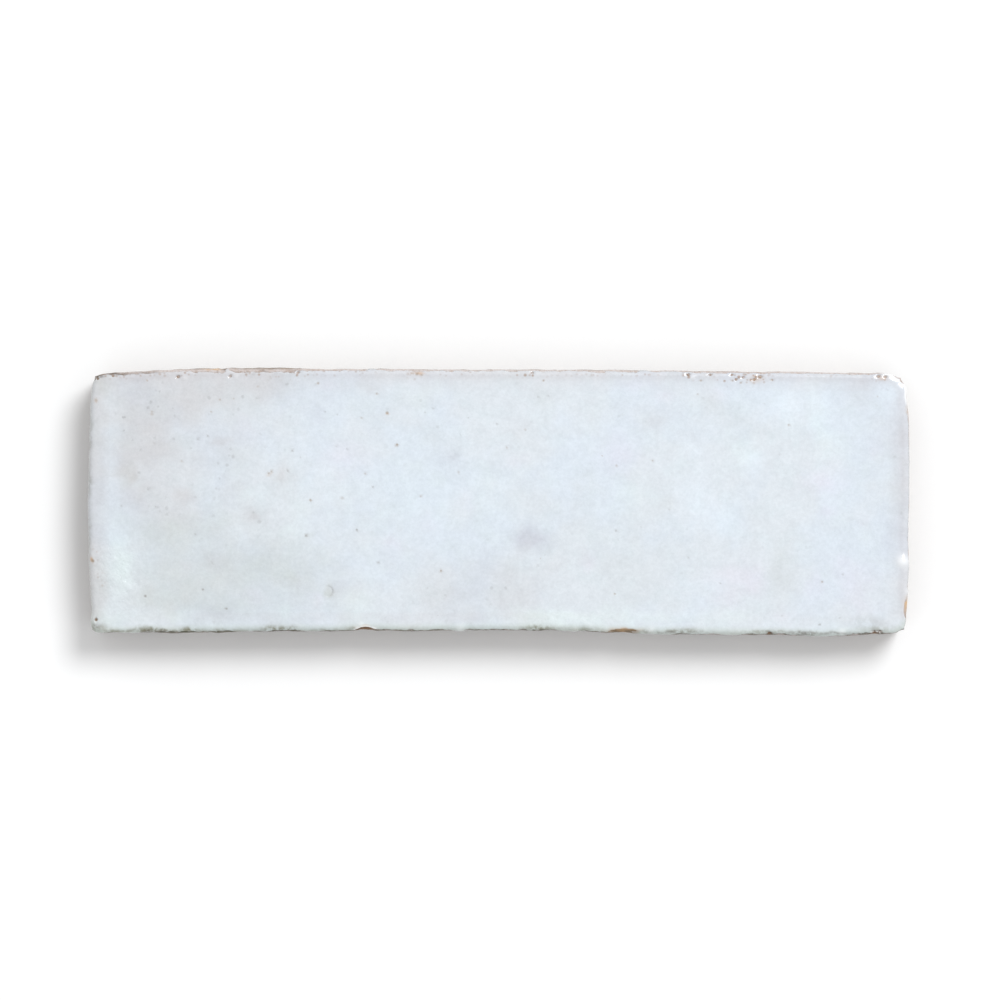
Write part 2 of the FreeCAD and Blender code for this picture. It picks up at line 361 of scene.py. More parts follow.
# Marks in the glaze: x, y, radius, strength. Bare ones go through to the clay.
glazeMarks = {
    "barePits": [
        (-58.4, 22.8, 0.26, 1), (-48.9, 22.9, 0.2, 0.9), (34.6, 23.2, 0.26, 1), (38.6, 23.2, 0.2, 0.8),
        (42.6, 23.2, 0.18, 0.8), (43.3, 22.3, 0.18, 0.8), (44.6, 22.7, 0.18, 0.8),
        (46.6, 22.3, 0.22, 0.9), (47.7, 22.8, 0.3, 1), (69.3, 22.9, 0.26, 1), (70.6, 22.8, 0.2, 0.6),
        (-73.1, 22.5, 0.22, 0.8), (-70.3, 23, 0.2, 0.6), (-73.4, -21.5, 0.26, 1),
        (6.2, 23.5, 0.2, 0.7), (-36.5, 23.6, 0.2, 0.8), (49.5, -24.05, 0.28, 1),
        (68.6, -23.75, 0.24, 1), (69.6, -23.7, 0.26, 1),
    ],
    "rustSpots": [
        (-18.5, 10.4, 0.26, 0.9), (-41.9, 5.2, 0.22, 0.7), (-41.4, 5.5, 0.22, 0.6),
        (-32.9, 21.6, 0.24, 0.7), (-22.2, 19.7, 0.22, 0.6), (-34.3, 0.3, 0.22, 0.8),
        (-10.5, -12.6, 0.22, 0.8), (21.2, -16.8, 0.18, 0.7), (59, -14.6, 0.2, 0.7),
        (-63.2, 16.4, 0.2, 0.5), (-50.8, 18.6, 0.18, 0.6), (-52.4, 16.4, 0.16, 0.6),
        (8.2, 22.1, 0.2, 0.8), (36.9, 22.1, 0.2, 0.8), (49.9, 22.2, 0.22, 0.9), (52.9, 14, 0.2, 0.6),
        (21.5, 6.6, 0.2, 0.5), (28.1, 7.5, 0.2, 0.5), (-24.3, 5.1, 0.2, 0.5), (-7.3, 5.4, 0.22, 0.4),
        (-14.2, 1, 0.18, 0.6), (36.3, 19.6, 0.18, 0.4), (-73.4, 18.5, 0.28, 0.45),
        (-28.5, 0.7, 0.3, 0.3), (-25, 15.3, 0.18, 0.5), (42.7, 22.1, 0.18, 0.8),
        (44.2, 21.7, 0.18, 0.8), (45.1, 23.2, 0.2, 0.7), (-74, -10.8, 0.34, 0.9),
        (1.5, 9.9, 0.16, 0.5), (4.9, 13.1, 0.2, 0.4), (69.1, 19.2, 0.16, 0.4), (-43.9, 21, 0.2, 0.4),
        (-48.3, 18.8, 0.18, 0.4), (-20.3, 16.2, 0.32, 0.7), (-14.9, 23.3, 0.3, 0.7),
        (-14, 23.1, 0.22, 0.5), (-15.6, 23.4, 0.2, 0.5), (-63.2, 16, 0.34, 0.35),
        (-57.8, 7.4, 0.2, 0.4),
    ],
    "pinholes": [
        (-53, 12, 0.2, 0.6), (-54.8, 11.4, 0.18, 0.5), (-62.8, 10.7, 0.16, 0.4),
        (-37.6, 9.3, 0.17, 0.7), (-36.1, 8.1, 0.15, 0.4), (-38.4, 5.6, 0.18, 0.6),
        (-29.4, 15.9, 0.16, 0.4), (-31.6, 16.4, 0.15, 0.5), (-13.4, 16.3, 0.15, 0.5),
        (-11.9, 17, 0.15, 0.4), (-11.2, 13.6, 0.14, 0.4), (-6.9, 12.2, 0.16, 0.3),
        (-5.5, 15.3, 0.14, 0.4), (-0.3, 14.2, 0.15, 0.6), (7.2, 19.1, 0.16, 0.5),
        (9.1, 19.3, 0.16, 0.4), (-22.9, 2.7, 0.17, 0.7), (-53.9, -16, 0.2, 0.9),
        (-49.6, -19.5, 0.2, 0.9), (-55.3, -5.9, 0.16, 0.6), (-62.5, -0.9, 0.16, 0.5),
        (-61.8, -1.7, 0.14, 0.4), (-35.1, -6.2, 0.2, 0.9), (-25.8, -5.1, 0.2, 0.9),
        (-21.9, -11.1, 0.22, 0.5), (21.4, -5.3, 0.17, 0.7), (26, -4.6, 0.13, 0.3),
        (31.1, -1.4, 0.15, 0.4), (62.8, -13.3, 0.17, 0.5), (40.5, -14.9, 0.14, 0.5),
        (34.6, -10.2, 0.22, 0.3), (58.6, -22.4, 0.18, 0.7), (62.2, -21.2, 0.14, 0.4),
        (51.7, -20.8, 0.13, 0.4), (-50.9, 4.2, 0.16, 0.4), (-51.5, 2.4, 0.16, 0.4),
        (-64.4, -17.2, 0.26, 0.9), (-52.2, -11.2, 0.14, 0.4), (48.5, 17.9, 0.14, 0.3),
        (51.2, 8.6, 0.13, 0.3), (-27.6, 9.6, 0.15, 0.4), (-29.6, 10.1, 0.15, 0.4),
        (-43.5, 12.4, 0.18, 0.3), (3.9, -23.2, 0.18, 0.5),
    ],
}

# Chips at the rim: x, y, half length along the edge, half width across it, darkness
rimChips = {
    "lowerChip": (-24.2, -23.5, 1.6, 0.68, 0.9),
    "endChip": (74.7, -19.6, 1.9, 0.80, 0.10),
    "lowerNick": (68.7, -24.1, 0.7, 0.35, 0.9),
    "clayStretch": (22.8, -23.65, 2.6, 0.46, 0.3),
}

# Small raised drips on the rim that catch the light: x, y, radius, height
rimDrips = [
    (73.6, -10.9, 1.05, 0.4), (74.6, -16.4, 0.5, 0.2), (62.6, -23.7, 0.5, 0.18),
    (14, -23.4, 0.5, 0.16), (27.8, -23.5, 0.45, 0.16), (-47.9, 22.9, 0.4, 0.14),
    (-57.2, 22.5, 0.42, 0.16), (35.3, 22.5, 0.45, 0.15), (-7, -23.2, 0.8, 0.17),
    (-33.8, 23.9, 0.3, 0.08), (14.6, 22.9, 0.35, 0.1), (-25.2, -22.4, 0.5, 0.16),
    (74.4, -2.6, 0.4, 0.12), (-50.3, 23.8, 0.4, 0.12), (-25.7, -5.3, 0.3, 0.05),
    (-6.9, 12.2, 0.25, 0.06), (-52.5, 11.3, 0.3, 0.05), (-45.3, 18.4, 0.3, 0.05),
    (-67.5, -15.5, 0.6, 0.1), (-70, -10.5, 0.5, 0.09), (-68.2, -12.6, 0.5, 0.08),
]

# Where iron in the clay has bled into the glaze: x, y, half spans, strength
ironStains = {
    "oliveStain": [
        (-65.2, -23.2, 1.3, 0.5, 0.6), (-63.5, -23.4, 2, 0.44, 0.8), (-56.8, -23.3, 1.5, 0.52, 0.8),
        (-41.4, -23, 1.7, 0.6, 0.8), (-38.4, -23.2, 1.8, 0.52, 1), (-26.9, -23.3, 1.2, 0.4, 0.7),
        (7.4, -23.1, 2.8, 0.6, 0.9), (15.2, -23.3, 2.2, 0.48, 0.7), (33.6, -23.6, 2.8, 0.42, 0.9),
        (68.9, -23.2, 2.6, 0.64, 0.45), (66.6, -22, 3.6, 0.96, 0.2), (-73, -23, 1.6, 0.5, 0.7),
        (-69, -23.6, 3, 0.32, 0.9), (-60, -23.6, 4, 0.32, 0.8), (-50, -23.6, 6, 0.36, 0.7),
        (-32, -23.6, 5, 0.4, 0.5), (-5, -23.5, 1.8, 0.4, 0.6), (49, -23.8, 4.5, 0.36, 0.6),
        (-15.6, -23.5, 4, 0.32, 0.5), (24, -23.8, 5, 0.32, 0.5), (58, -24, 4, 0.28, 0.45),
        (-74.6, -6, 0.4, 3, 0.4), (-74.5, 3, 0.4, 3, 0.4), (-74.4, 12, 0.4, 3, 0.4),
    ],
    "rustStain": [
        (-70.5, 23.2, 3, 0.6, 0.7), (-63.5, 23.2, 4, 0.5, 0.5), (-47.5, 23.4, 2.5, 0.6, 0.6),
        (-42.5, 23.2, 2.6, 0.7, 0.6), (-37.4, 23.2, 2, 0.8, 0.65), (-30, 23.6, 6, 0.5, 0.6),
        (-14.8, 23.1, 1.4, 0.7, 0.9), (-8, 23.5, 5, 0.4, 0.5), (5.5, 23.2, 3, 0.5, 0.7),
        (34.6, 22.9, 1.2, 0.7, 0.8), (42.5, 22.6, 3.6, 1, 1), (47.6, 22.6, 1.6, 1, 1),
        (69.8, 22.6, 1.3, 0.6, 0.9), (22, 23.2, 8, 0.4, 0.5), (-73.6, -9.8, 0.7, 1.2, 0.6),
        (-72.6, -14.6, 1, 1.6, 0.35), (58, 23, 6, 0.4, 0.3), (-57, 23.4, 3, 0.4, 0.6),
    ],
    "darkStain": [
        (-73.3, 22.9, 1.2, 0.25, 0.9), (-74.4, 21.6, 0.32, 1.2, 0.9), (-70, 23.4, 2.6, 0.28, 0.9),
        (-64, 23.6, 2, 0.25, 0.5), (49.6, -23.95, 0.5, 0.35, 1), (-50, 24.2, 0.4, 0.25, 0.9),
        (-73.6, -22.6, 0.8, 0.5, 0.7), (-42.6, 23.8, 0.8, 0.25, 0.4), (-37, 24, 0.8, 0.25, 0.3),
        (-24.6, -23.4, 1.2, 0.3, 0.7), (55.5, -24, 3, 0.3, 0.6), (32, -23.8, 6, 0.25, 0.5),
        (68.6, -23.8, 0.42, 0.32, 0.9), (69.6, -23.75, 0.4, 0.35, 1), (7, -23.6, 2.6, 0.3, 0.6),
        (-63, -23.7, 3, 0.3, 0.6), (-40, -23.6, 3, 0.3, 0.6), (62, -24, 3, 0.25, 0.5),
    ],
    "amberStain": [
        (-51.6, 24.25, 1.5, 0.16, 1), (74.8, -18.6, 0.6, 1.3, 0.9), (22.8, -23.45, 2.4, 0.36, 1),
        (-14.6, 23.3, 1, 0.3, 0.6), (-74.2, -10.6, 0.3, 0.4, 0.9), (-73.3, 18.5, 0.4, 0.3, 0.25),
        (-41.6, 5.2, 0.26, 0.2, 0.6), (-42.1, 4.8, 0.26, 0.16, 0.6), (-20.4, 16.2, 0.3, 0.25, 0.5),
        (47, 22.4, 1.2, 0.7, 0.35), (70.2, 22.6, 0.8, 0.4, 0.5), (74.6, 16.8, 0.25, 0.7, 0.45),
        (-24.8, -22.9, 1.2, 0.25, 0.6),
    ],
}

# How the stains lie
stainForm = {
    "floor": 6.0,          # height below which no stain is left
    "fade": 2.0,
    "wander": (0.35, 1.2),    # how far its border strays, and over what distance
}

# Where each side sets in, from the middle of the tile, and over what distance
sideStart = {
    "upper": (20.0, 3.0),
    "lower": (20.5, 3.0),
    "ends": (71.5, 3.0),
    "leftRim": (68.0, 4.0),
    "lowerRim": (20.0, 3.0),
    "leftOxideAndShade": (71.0, 3.0),
}

# How far the glaze runs over the rim before bare clay shows, in mm along the surface
glazeRun = {
    "upperLeft": 0.80,
    "upperThin": 0.42,       # between the two thinX values
    "upper": 0.92,
    "thinX": (-56.0, -37.0),
    "thinBlend": 3.0,
    "lower": 1.13,
    "left": 3.40,
    "right": 1.35,
    "wornCorner": 1.56,
    "wornReach": 4.0,
    "slowChange": 0.20,
    "slowLength": 7.0,
    "fineChange": 0.28,
    "fineLength": 0.9,
    "drips": 1.8,
    "dripLength": 5.0,
    "dripFrom": 0.25,        # unevenness from which the glaze drips
    "dripRun": 1.0,          # only where it runs at least this far
    "fade": 0.20,
    "least": 0.12,
}

# Where the glaze ran further down a side: x, y, half width, extra run in mm
glazeTongues = [
    (28.4, -24, 2.6, 2.9), (-67.2, -23.6, 2.2, 2.2), (-7.2, -23.6, 1.1, 1.9), (-34, -23.8, 1.5, 0.9),
    (58, -24, 1.6, 1.2), (62.6, -24, 0.6, 0.8), (-23.2, 24, 0.7, 1.5), (-49.4, 24.2, 0.5, 1),
    (73, 22.6, 1.4, -0.24), (26.5, 23.8, 0.8, 2.4), (75, 6, 2.2, 2.6), (75, -13, 1.2, 1.8),
    (-75, 9, 1.8, 1.6), (-75, -17, 2.6, 1.9), (1, 23.9, 0.5, 0.5), (42.5, -24.1, 1, 3.4),
    (57, 23.8, 8, 0.2),
]

# Soft patches of tone in the glaze: x, y, half spans, strength
glazeTones = {
    "warmGrey": [
        (-65, 17.5, 4.8, 7, 0.85), (-64.6, 10.5, 4.6, 5, 0.8), (-57.5, 18, 6.5, 5, 0.7),
        (-49, 20.2, 8, 3.4, 0.62), (-40.5, 20.8, 5, 2.8, 0.55), (-67.3, 5.4, 1.6, 2.8, 0.65),
        (-55, 9, 8, 6.5, 0.36), (-62, 1.5, 6, 4.5, 0.4), (-57.3, 1.2, 1.6, 1.3, 0.55),
        (-71.5, 8, 1.8, 14, 0.3), (-30, 21.5, 6, 1.8, 0.25), (-52, -6, 12, 5, 0.12),
        (-50.6, 10.8, 1.6, 1.3, 0.6), (-48, 12, 8, 6, 0.15), (-39.6, 4.5, 1.9, 1.5, 0.5),
        (-44.5, -2.3, 2, 1.3, 0.7), (-60, -2.5, 8, 3, 0.3), (-9, -17, 6, 4.2, 0.55),
        (2.4, -16, 6, 5.2, 0.55), (-4, -11.5, 5, 2.5, 0.25), (28.2, 14.6, 2.8, 2.2, 0.42),
        (4.3, 13, 1.8, 1.5, 0.3), (38.6, 18.2, 2, 1.6, 0.35), (66, 20.8, 4.2, 1.8, 0.45),
        (72.4, 12, 2.2, 5, 0.55), (72.8, 2, 1.6, 6, 0.35), (-22.8, 20.2, 1.3, 1.1, 0.4),
        (-20.4, 16.1, 1, 0.9, 0.35), (20, 16, 5, 2, 0.12), (-37, -22, 9, 1, 0.2),
        (-68.8, 19, 2.6, 4, 0.3), (-68.8, 9, 2.2, 4, 0.35), (-66.4, 0.8, 3, 2.4, 0.6),
        (-49.1, 1.6, 2.6, 1.8, 0.3), (-36, -16.4, 2.2, 3, 0.3), (-5, -21.3, 3.2, 1.3, 0.4),
        (-28.4, -16.6, 2.6, 3, 0.45), (69, 13, 2.2, 2.6, 0.3), (69, -21.3, 2.4, 1.2, 0.35),
        (65.7, 18, 2.4, 1.6, 0.25), (-45.8, 14.7, 2.2, 1.6, 0.2), (-39.3, 14.7, 2, 1.6, 0.25),
        (-39.3, 3.4, 1.9, 3, 0.35), (-32.7, 18, 4.6, 1.6, 0.2), (-13, 18, 4.6, 1.6, 0.25),
        (-49.1, 8.1, 2.4, 1.8, 0.25), (-19.6, -11.5, 2.4, 1.8, 0.25), (9.9, -11.5, 2.4, 1.8, 0.25),
        (-52.4, -21.6, 3, 1.2, 0.25), (-17, -21.6, 5, 1.2, 0.28), (6.7, -21, 2.4, 1.2, 0.35),
        (-41, -21.6, 3, 1.2, 0.2),
    ],
    "olive": [
        (-60, -12, 7.5, 6.5, 0.66), (-48, -13, 8, 6.5, 0.66), (-58, -18.5, 9, 3, 0.55),
        (-40, -12, 6, 5, 0.58), (-37, -14.3, 2.6, 2.2, 0.5), (-30.6, -16.4, 1.3, 1.5, 1.3),
        (-71.5, 4, 1.8, 12, 0.12), (-36, -19, 6, 2, 0.25), (-64.5, -17.3, 1.8, 1.3, 0.4),
        (-62, -5.5, 6, 3, 0.5), (-52, -4, 6, 3, 0.4), (-67.6, 4.5, 1.4, 2.5, 0.4),
        (-31, -11.5, 3.5, 3, 0.32), (-35, -6.1, 1, 0.8, 0.5), (-12.5, 12, 2.2, 2, 0.3),
        (51.8, -12, 2.3, 5.6, 0.42), (24, -14, 7, 6, 0.2), (44, 15.5, 3, 3.5, 0.24),
        (8.2, 19.1, 2, 1.8, 0.3), (30.5, -0.6, 1.8, 1.4, 0.3), (16, 5.4, 1.6, 1, 0.3),
        (20, -6, 9, 5, 0.12), (-47, -19.5, 7, 2.4, 0.35), (-72.4, 21.2, 2.6, 2.2, 0.65),
        (-72.6, -15.6, 2.2, 4, 0.4), (-72.4, -21.3, 2.4, 1.6, 0.35), (-39.3, -21.3, 2.6, 1.2, 0.2),
        (-26.2, -21.3, 2.4, 1.2, 0.3), (-65.5, -4, 2.4, 2.4, 0.2), (-36, -11.5, 2.4, 1.8, 0.2),
    ],
    # painted shade in the hollows of the face
    "paintedHollowShade": [
        (4.4, -6, 2, 1.2, 0.55), (6.5, -7.2, 2.9, 1.9, 1), (-8.4, 8.1, 1.6, 1.6, 0.6),
        (-52, -10.6, 2.4, 1.8, 0.4), (-51.5, -20.2, 2.8, 1.2, 0.4), (-28.8, 3.9, 1.9, 0.8, 0.35),
        (-32.7, 15.2, 1.5, 2.2, 0.3), (-64.5, -0.5, 4, 2.6, 0.1), (71, -6.2, 2.4, 3.8, 0.4),
        (-44.6, -2.4, 1.4, 0.9, 0.4), (-13.5, 1, 1, 0.8, 0.25), (1.2, 10, 0.9, 0.7, 0.25),
    ],
    "lilac": [
        (-28, 8.2, 4, 2.6, 0.8), (-31, 21, 2, 1.6, 0.5), (-33, -17.6, 1.2, 1.8, 0.8),
        (-45, -17, 2.2, 1.6, 0.6), (-20, -7.7, 2, 1.7, 0.7), (22, 8.8, 4.2, 2.8, 0.9),
        (31, 19.6, 2.2, 1.6, 0.7), (25, 21.5, 3, 1.2, 0.4), (40, 19.6, 2, 1.2, 0.5),
        (59, 3.6, 3.2, 2.4, 1), (60.3, -1.6, 1.4, 1.4, 0.8), (42.5, -13.2, 4.2, 2.4, 1),
        (46.5, -15.5, 2.4, 2.4, 0.8), (42, -17.5, 3, 1.6, 0.7), (65.5, -14.5, 4, 3.6, 0.9),
        (62.5, -11, 2, 1.4, 0.6), (57.4, -15, 1.4, 3.2, 0.7), (66, -19, 3.6, 1.6, 0.6),
        (16.2, -10.4, 1.4, 1.8, 0.8), (3, 7.8, 2, 1.2, 0.5), (-46.5, 13, 2, 3, 0.3),
        (-6, 0.5, 1.6, 2.6, 0.4), (-13, -3.5, 1.6, 2, 0.4), (66.2, -3.6, 1, 1.2, 0.5),
        (-56.8, -12, 1.4, 1.2, 0.5), (53, -20.8, 3, 1, 0.5), (69, 9.8, 1.2, 1.6, 0.5),
    ],
    # paler patches of glaze, with painted light on the swells and beside the worn corner
    "bright": [
        (52.4, 17.2, 3, 2.6, 0.85), (57, 19, 3, 2, 0.3), (35.4, 9.6, 1.9, 1.4, 0.6),
        (35.6, 0.8, 3.2, 3.4, 0.7), (38.5, -2.6, 2.6, 2.4, 0.55), (41.5, -4, 2, 2, 0.35),
        (46, 7.4, 2.2, 2, 0.4), (38.4, -14.8, 2.4, 1.6, 0.5), (-47.4, -5.4, 2, 1.6, 0.6),
        (-37, 14, 3.5, 3, 0.3), (-34, 4.5, 3.5, 3, 0.35), (-30, 2, 3, 3, 0.3), (-12, -1.5, 4, 3, 0.25),
        (-51.8, 16.6, 1.6, 1.8, 0.4), (71.8, 20.6, 1.6, 1.6, 0.3), (-57.8, 12.6, 1.4, 1.1, 0.35),
        (71.8, 20.8, 2.2, 2, 0.7), (61, 8, 3, 6, 0.18), (-32.4, -17.2, 0.8, 1.6, 0.4),
        (37.4, 5, 5, 5, 0.2), (12, 10, 4, 6, 0.15), (6.5, -11, 2.4, 1.2, 0.3),
    ],
    "greenLight": [
        (-69, -11.6, 2, 5.2, 0.95), (-70.3, -20.8, 2.6, 1.5, 0.5), (-71.4, 12, 1.5, 8, 0.1),
        (-65, -21.3, 3, 1, 0.3), (10, -21, 8, 1.5, 1), (-26.2, -18.2, 2.8, 2.4, 0.6),
        (-39.2, -19.8, 1.8, 1.3, 0.5), (-59, -20.6, 2, 1, 0.5), (28, -21.4, 12, 1.3, 0.55),
        (44, -20.6, 3, 1.4, 0.4), (-36.5, -1, 2.4, 2.4, 0.4), (-16, 2, 7, 6, 0.18),
        (58.4, 14.6, 1.8, 3.6, 0.45), (44.6, 9.2, 2.2, 2.2, 0.5), (25, 1, 3, 2.6, 0.35),
        (60, 10.8, 2.6, 2.4, 0.3), (-13.5, 19, 2.6, 2.4, 0.3), (-46, 0.8, 2.2, 1.6, 0.3),
        (-2, 2, 5, 5, 0.2), (-57, -6, 5, 2, 0.15), (-37.6, -5.2, 1.6, 1.4, 0.3),
    ],
}

# Wrinkled or frothy glaze: x, y, half spans, strength
frothyPlaces = [
    (-69.6, -12.8, 5, 7.5, 2.2), (11, -21.6, 11, 1.9, 1.2), (-72, 8, 2, 14, 0.5),
    (-40, -22.6, 30, 1.2, 0.6), (-66, -19, 6, 3, 0.5), (40, -22.8, 30, 0.9, 0.4),
]


def atSide(outward, side):
    # 0 over the middle of the face, 1 at that side of the tile
    start, blend = sideStart[side]
    return smoothStep((outward - start) / blend)


def glazeEnd(edge):
    # where the glaze stops on each side, blended round the corners
    x, y = edge[:, 0], edge[:, 1]
    upper, lower = atSide(y, "upper"), atSide(-y, "lower")
    left, right = atSide(-x, "ends") * (1 - upper), atSide(x, "ends") * (1 - upper)
    thinStart, thinStop = glazeRun["thinX"]
    blend = glazeRun["thinBlend"]
    thin = smoothStep((x - thinStart) / blend + 0.5) * smoothStep((thinStop - x) / blend + 0.5)
    outer = smoothStep((thinStart - x) / blend + 0.5)
    upperRun = glazeRun["upper"] + (glazeRun["upperThin"] - glazeRun["upper"]) * thin
    upperRun = upperRun + (glazeRun["upperLeft"] - glazeRun["upper"]) * outer
    end = (
        upper * upperRun + lower * glazeRun["lower"]
        + left * glazeRun["left"] + right * glazeRun["right"]
    ) / np.maximum(upper + lower + left + right, 0.001)
    solid = np.column_stack([edge, np.zeros(len(edge))])
    slow = unevenness(solid, glazeRun["slowLength"], "slowRun", 2)
    end = end + glazeRun["slowChange"] * slow * (0.6 + 0.4 * end)
    end = end + glazeRun["fineChange"] * unevenness(solid, glazeRun["fineLength"], "fineRun")
    drips = unevenness(solid, glazeRun["dripLength"], "drips", 1) - glazeRun["dripFrom"]
    dripping = (1 - upper) * (end > glazeRun["dripRun"])
    end = end + glazeRun["drips"] * np.clip(drips, 0, 1) * dripping
    worn = fallOff(edge, tileForm["wornCorner"], glazeRun["wornReach"], power=4)
    end = end * (1 - worn) + glazeRun["wornCorner"] * worn
    for *place, half, extra in glazeTongues:
        end = end + extra * fallOff(edge, place, half)
    return np.maximum(end, glazeRun["least"])


faceFloor = 7.0    # height above which the marks of the face may lie
pitEdge = 0.12     # half width of the border of a bare pit
spotEdge = 0.17    # the same of a rust spot or pinhole
spotCore = 0.85    # share of its listed radius that it gets
chipForm = {
    "turnX": 70,            # past this the chips lie along the ends
    "ragged": 0.16,
    "raggedLength": 0.9,
    "reach": 1.12,          # share of the listed half spans that they get
    "blend": 0.4,
    "floor": 6.7,           # height at which they run out on the sides
    "floorBlend": 0.9,
}


def roundMask(points, place, radius, edgeWidth):
    away = distanceTo(points, place)
    return smoothStep((radius + edgeWidth - away) / (2 * edgeWidth)) * (points[:, 2] > faceFloor)


def chipMask(points, place, grow=0.0):
    x, y, halfX, halfY = place[:4]
    if abs(x) > chipForm["turnX"]:
        halfX, halfY = halfY, halfX
    ragged = chipForm["ragged"] * unevenness(points, chipForm["raggedLength"], "chips", 2)
    away = np.hypot((points[:, 0] - x) / halfX, (points[:, 1] - y) / halfY) + ragged
    inside = smoothStep((chipForm["reach"] + grow - away) / chipForm["blend"])
    return inside * smoothStep((points[:, 2] - chipForm["floor"]) / chipForm["floorBlend"])


def softMask(points, place):
    # soft oval patch, strongest at its middle
    x, y, spanX, spanY, strength = place
    return strength * np.exp(-((points[:, 0] - x) / spanX) ** 2 - ((points[:, 1] - y) / spanY) ** 2)


def wander(points, reach, wavelength, kind):
    # the points shifted about, for patches with ragged borders
    moved = points.copy()
    moved[:, 0] += reach * unevenness(points, wavelength, kind)
    moved[:, 1] += reach * unevenness(points, wavelength, kind, further=1.0)
    return moved


def patchSum(points, places, limit=1):
    return np.clip(sum(softMask(points, place) for place in places), 0, limit)


print("tile form read:", round(halfLength * 2, 2), "x", round(halfWidth * 2, 2), "mm")


def meshObject(name, skin, refine):
    # the undisplaced surface, with finer cells round the marks
    points = np.concatenate(skin.points)
    runs = np.concatenate(skin.runs)
    mesh = bpy.data.meshes.new(name)
    mesh.from_pydata(points.tolist(), [], skin.faces)
    built = bmesh.new()
    built.from_mesh(mesh)
    runLayer = built.verts.layers.float.new("run")
    endLayer = built.verts.layers.float.new("glazeEnd")
    ends = np.full(len(points), 99.0)
    loopCount = (len(points) - len(skin.points[0])) // skin.count
    edgeEnds = glazeEnd(skin.edge)
    for k in range(loopCount):
        first = len(skin.points[0]) + k * skin.count
        if first + skin.count <= len(points) and runs[first] < backRun:
            ends[first:first + skin.count] = edgeEnds
    for vertex, run, end in zip(built.verts, runs, ends):
        vertex[runLayer] = run
        vertex[endLayer] = end
    for reach in refine:
        refineMarks(built, reach)
    built.to_mesh(mesh)
    built.free()
    piece = bpy.data.objects.new(name, mesh)
    bpy.context.scene.collection.objects.link(piece)
    return piece


def refineMarks(built, reach):
    # split the cells round every pit, spot and pinhole, and round the blister
    flat = np.array([vertex.co[:] for vertex in built.verts])
    near = np.zeros(len(flat), dtype=bool)
    for place in sum(glazeMarks.values(), [glazeCoat["blister"]]):
        near |= (distanceTo(flat, place) < place[2] + reach) & (flat[:, 2] > tileForm["shoulder"])
    edges = [edge for edge in built.edges if near[edge.verts[0].index] and near[edge.verts[1].index]]
    bmesh.ops.subdivide_edges(built, edges=edges, cuts=1, use_grid_fill=True)


def startPiece(form):
    # rows over the face, the rim and the sides
    skin = TileSkin(form["cell"], form["rimCell"])
    skin.addFlatRows(form["flatRows"])
    skin.addRimRows(form["rimRows"])
    skin.addSideRows(form["sideRows"], form["sideEnd"])
    return skin


def readAttribute(mesh, name):
    values = np.zeros(len(mesh.vertices), dtype=np.float32)
    mesh.attributes[name].data.foreach_get("value", values)
    return values.astype(float)


def writeAttribute(mesh, name, values):
    if name not in mesh.attributes:
        mesh.attributes.new(name, "FLOAT", "POINT")
    mesh.attributes[name].data.foreach_set("value", values.astype(np.float32))


def meshArrays(mesh):
    points = np.zeros(len(mesh.vertices) * 3, dtype=np.float32)
    mesh.vertices.foreach_get("co", points)
    normals = np.zeros(len(mesh.vertices) * 3, dtype=np.float32)
    mesh.vertex_normals.foreach_get("vector", normals)
    return points.reshape(-1, 3).astype(float), normals.reshape(-1, 3).astype(float)


def coverage(run, end):
    # 1 where glaze covers the clay, 0 where the clay is bare
    return smoothStep((end - run) / glazeRun["fade"] + 0.5)


def bareSpots(points):
    # how bare each point is, how dark the clay is there, and which of it is shallow pits
    pits = np.zeros(len(points))
    dark = np.zeros(len(points))
    for *place, radius, strength in glazeMarks["barePits"]:
        mask = roundMask(points, place, radius, pitEdge)
        pits = np.maximum(pits, mask)
        dark = np.maximum(dark, mask * strength)
    bare = pits
    for place in rimChips.values():
        mask = chipMask(points, place)
        bare = np.maximum(bare, mask)
        dark = np.maximum(dark, mask * place[4])
    return bare, dark, pits


def finishMesh(piece, points):
    # move the points to their last places, in metres, and report the piece
    mesh = piece.data
    mesh.vertices.foreach_set("co", (points * mm).astype(np.float32).ravel())
    mesh.polygons.foreach_set("use_smooth", np.full(len(mesh.polygons), True))
    mesh.update()
    triangles = sum(len(polygon.vertices) - 2 for polygon in mesh.polygons)
    print(piece.name + ":", len(mesh.vertices), "points,", triangles, "triangles")


def writeStains(mesh, points):
    close = wander(points, *stainForm["wander"], "stains")
    upperPart = smoothStep((points[:, 2] - stainForm["floor"]) / stainForm["fade"])
    for stain, places in ironStains.items():
        writeAttribute(mesh, stain, patchSum(close, places) * upperPart)


# Milky beads, where the glaze has gathered, whitened further as painted highlight; the band along the
# worn corner is painted highlight
milkyBeadsAndHighlights = {
    "darkChips": 0.5,      # round chips that are darker than this
    "chipReach": 0.40,
    "dripMost": 0.7,
    "dripGain": 4,         # painted highlight white gained with each mm of a drip above dripFrom
    "dripFrom": 0.1,
    "band": 0.85,          # painted highlight along the worn corner
    "bandRuns": (0.80, 1.7),
    "bandBlend": 0.25,
    "bandReach": 4.2,
}


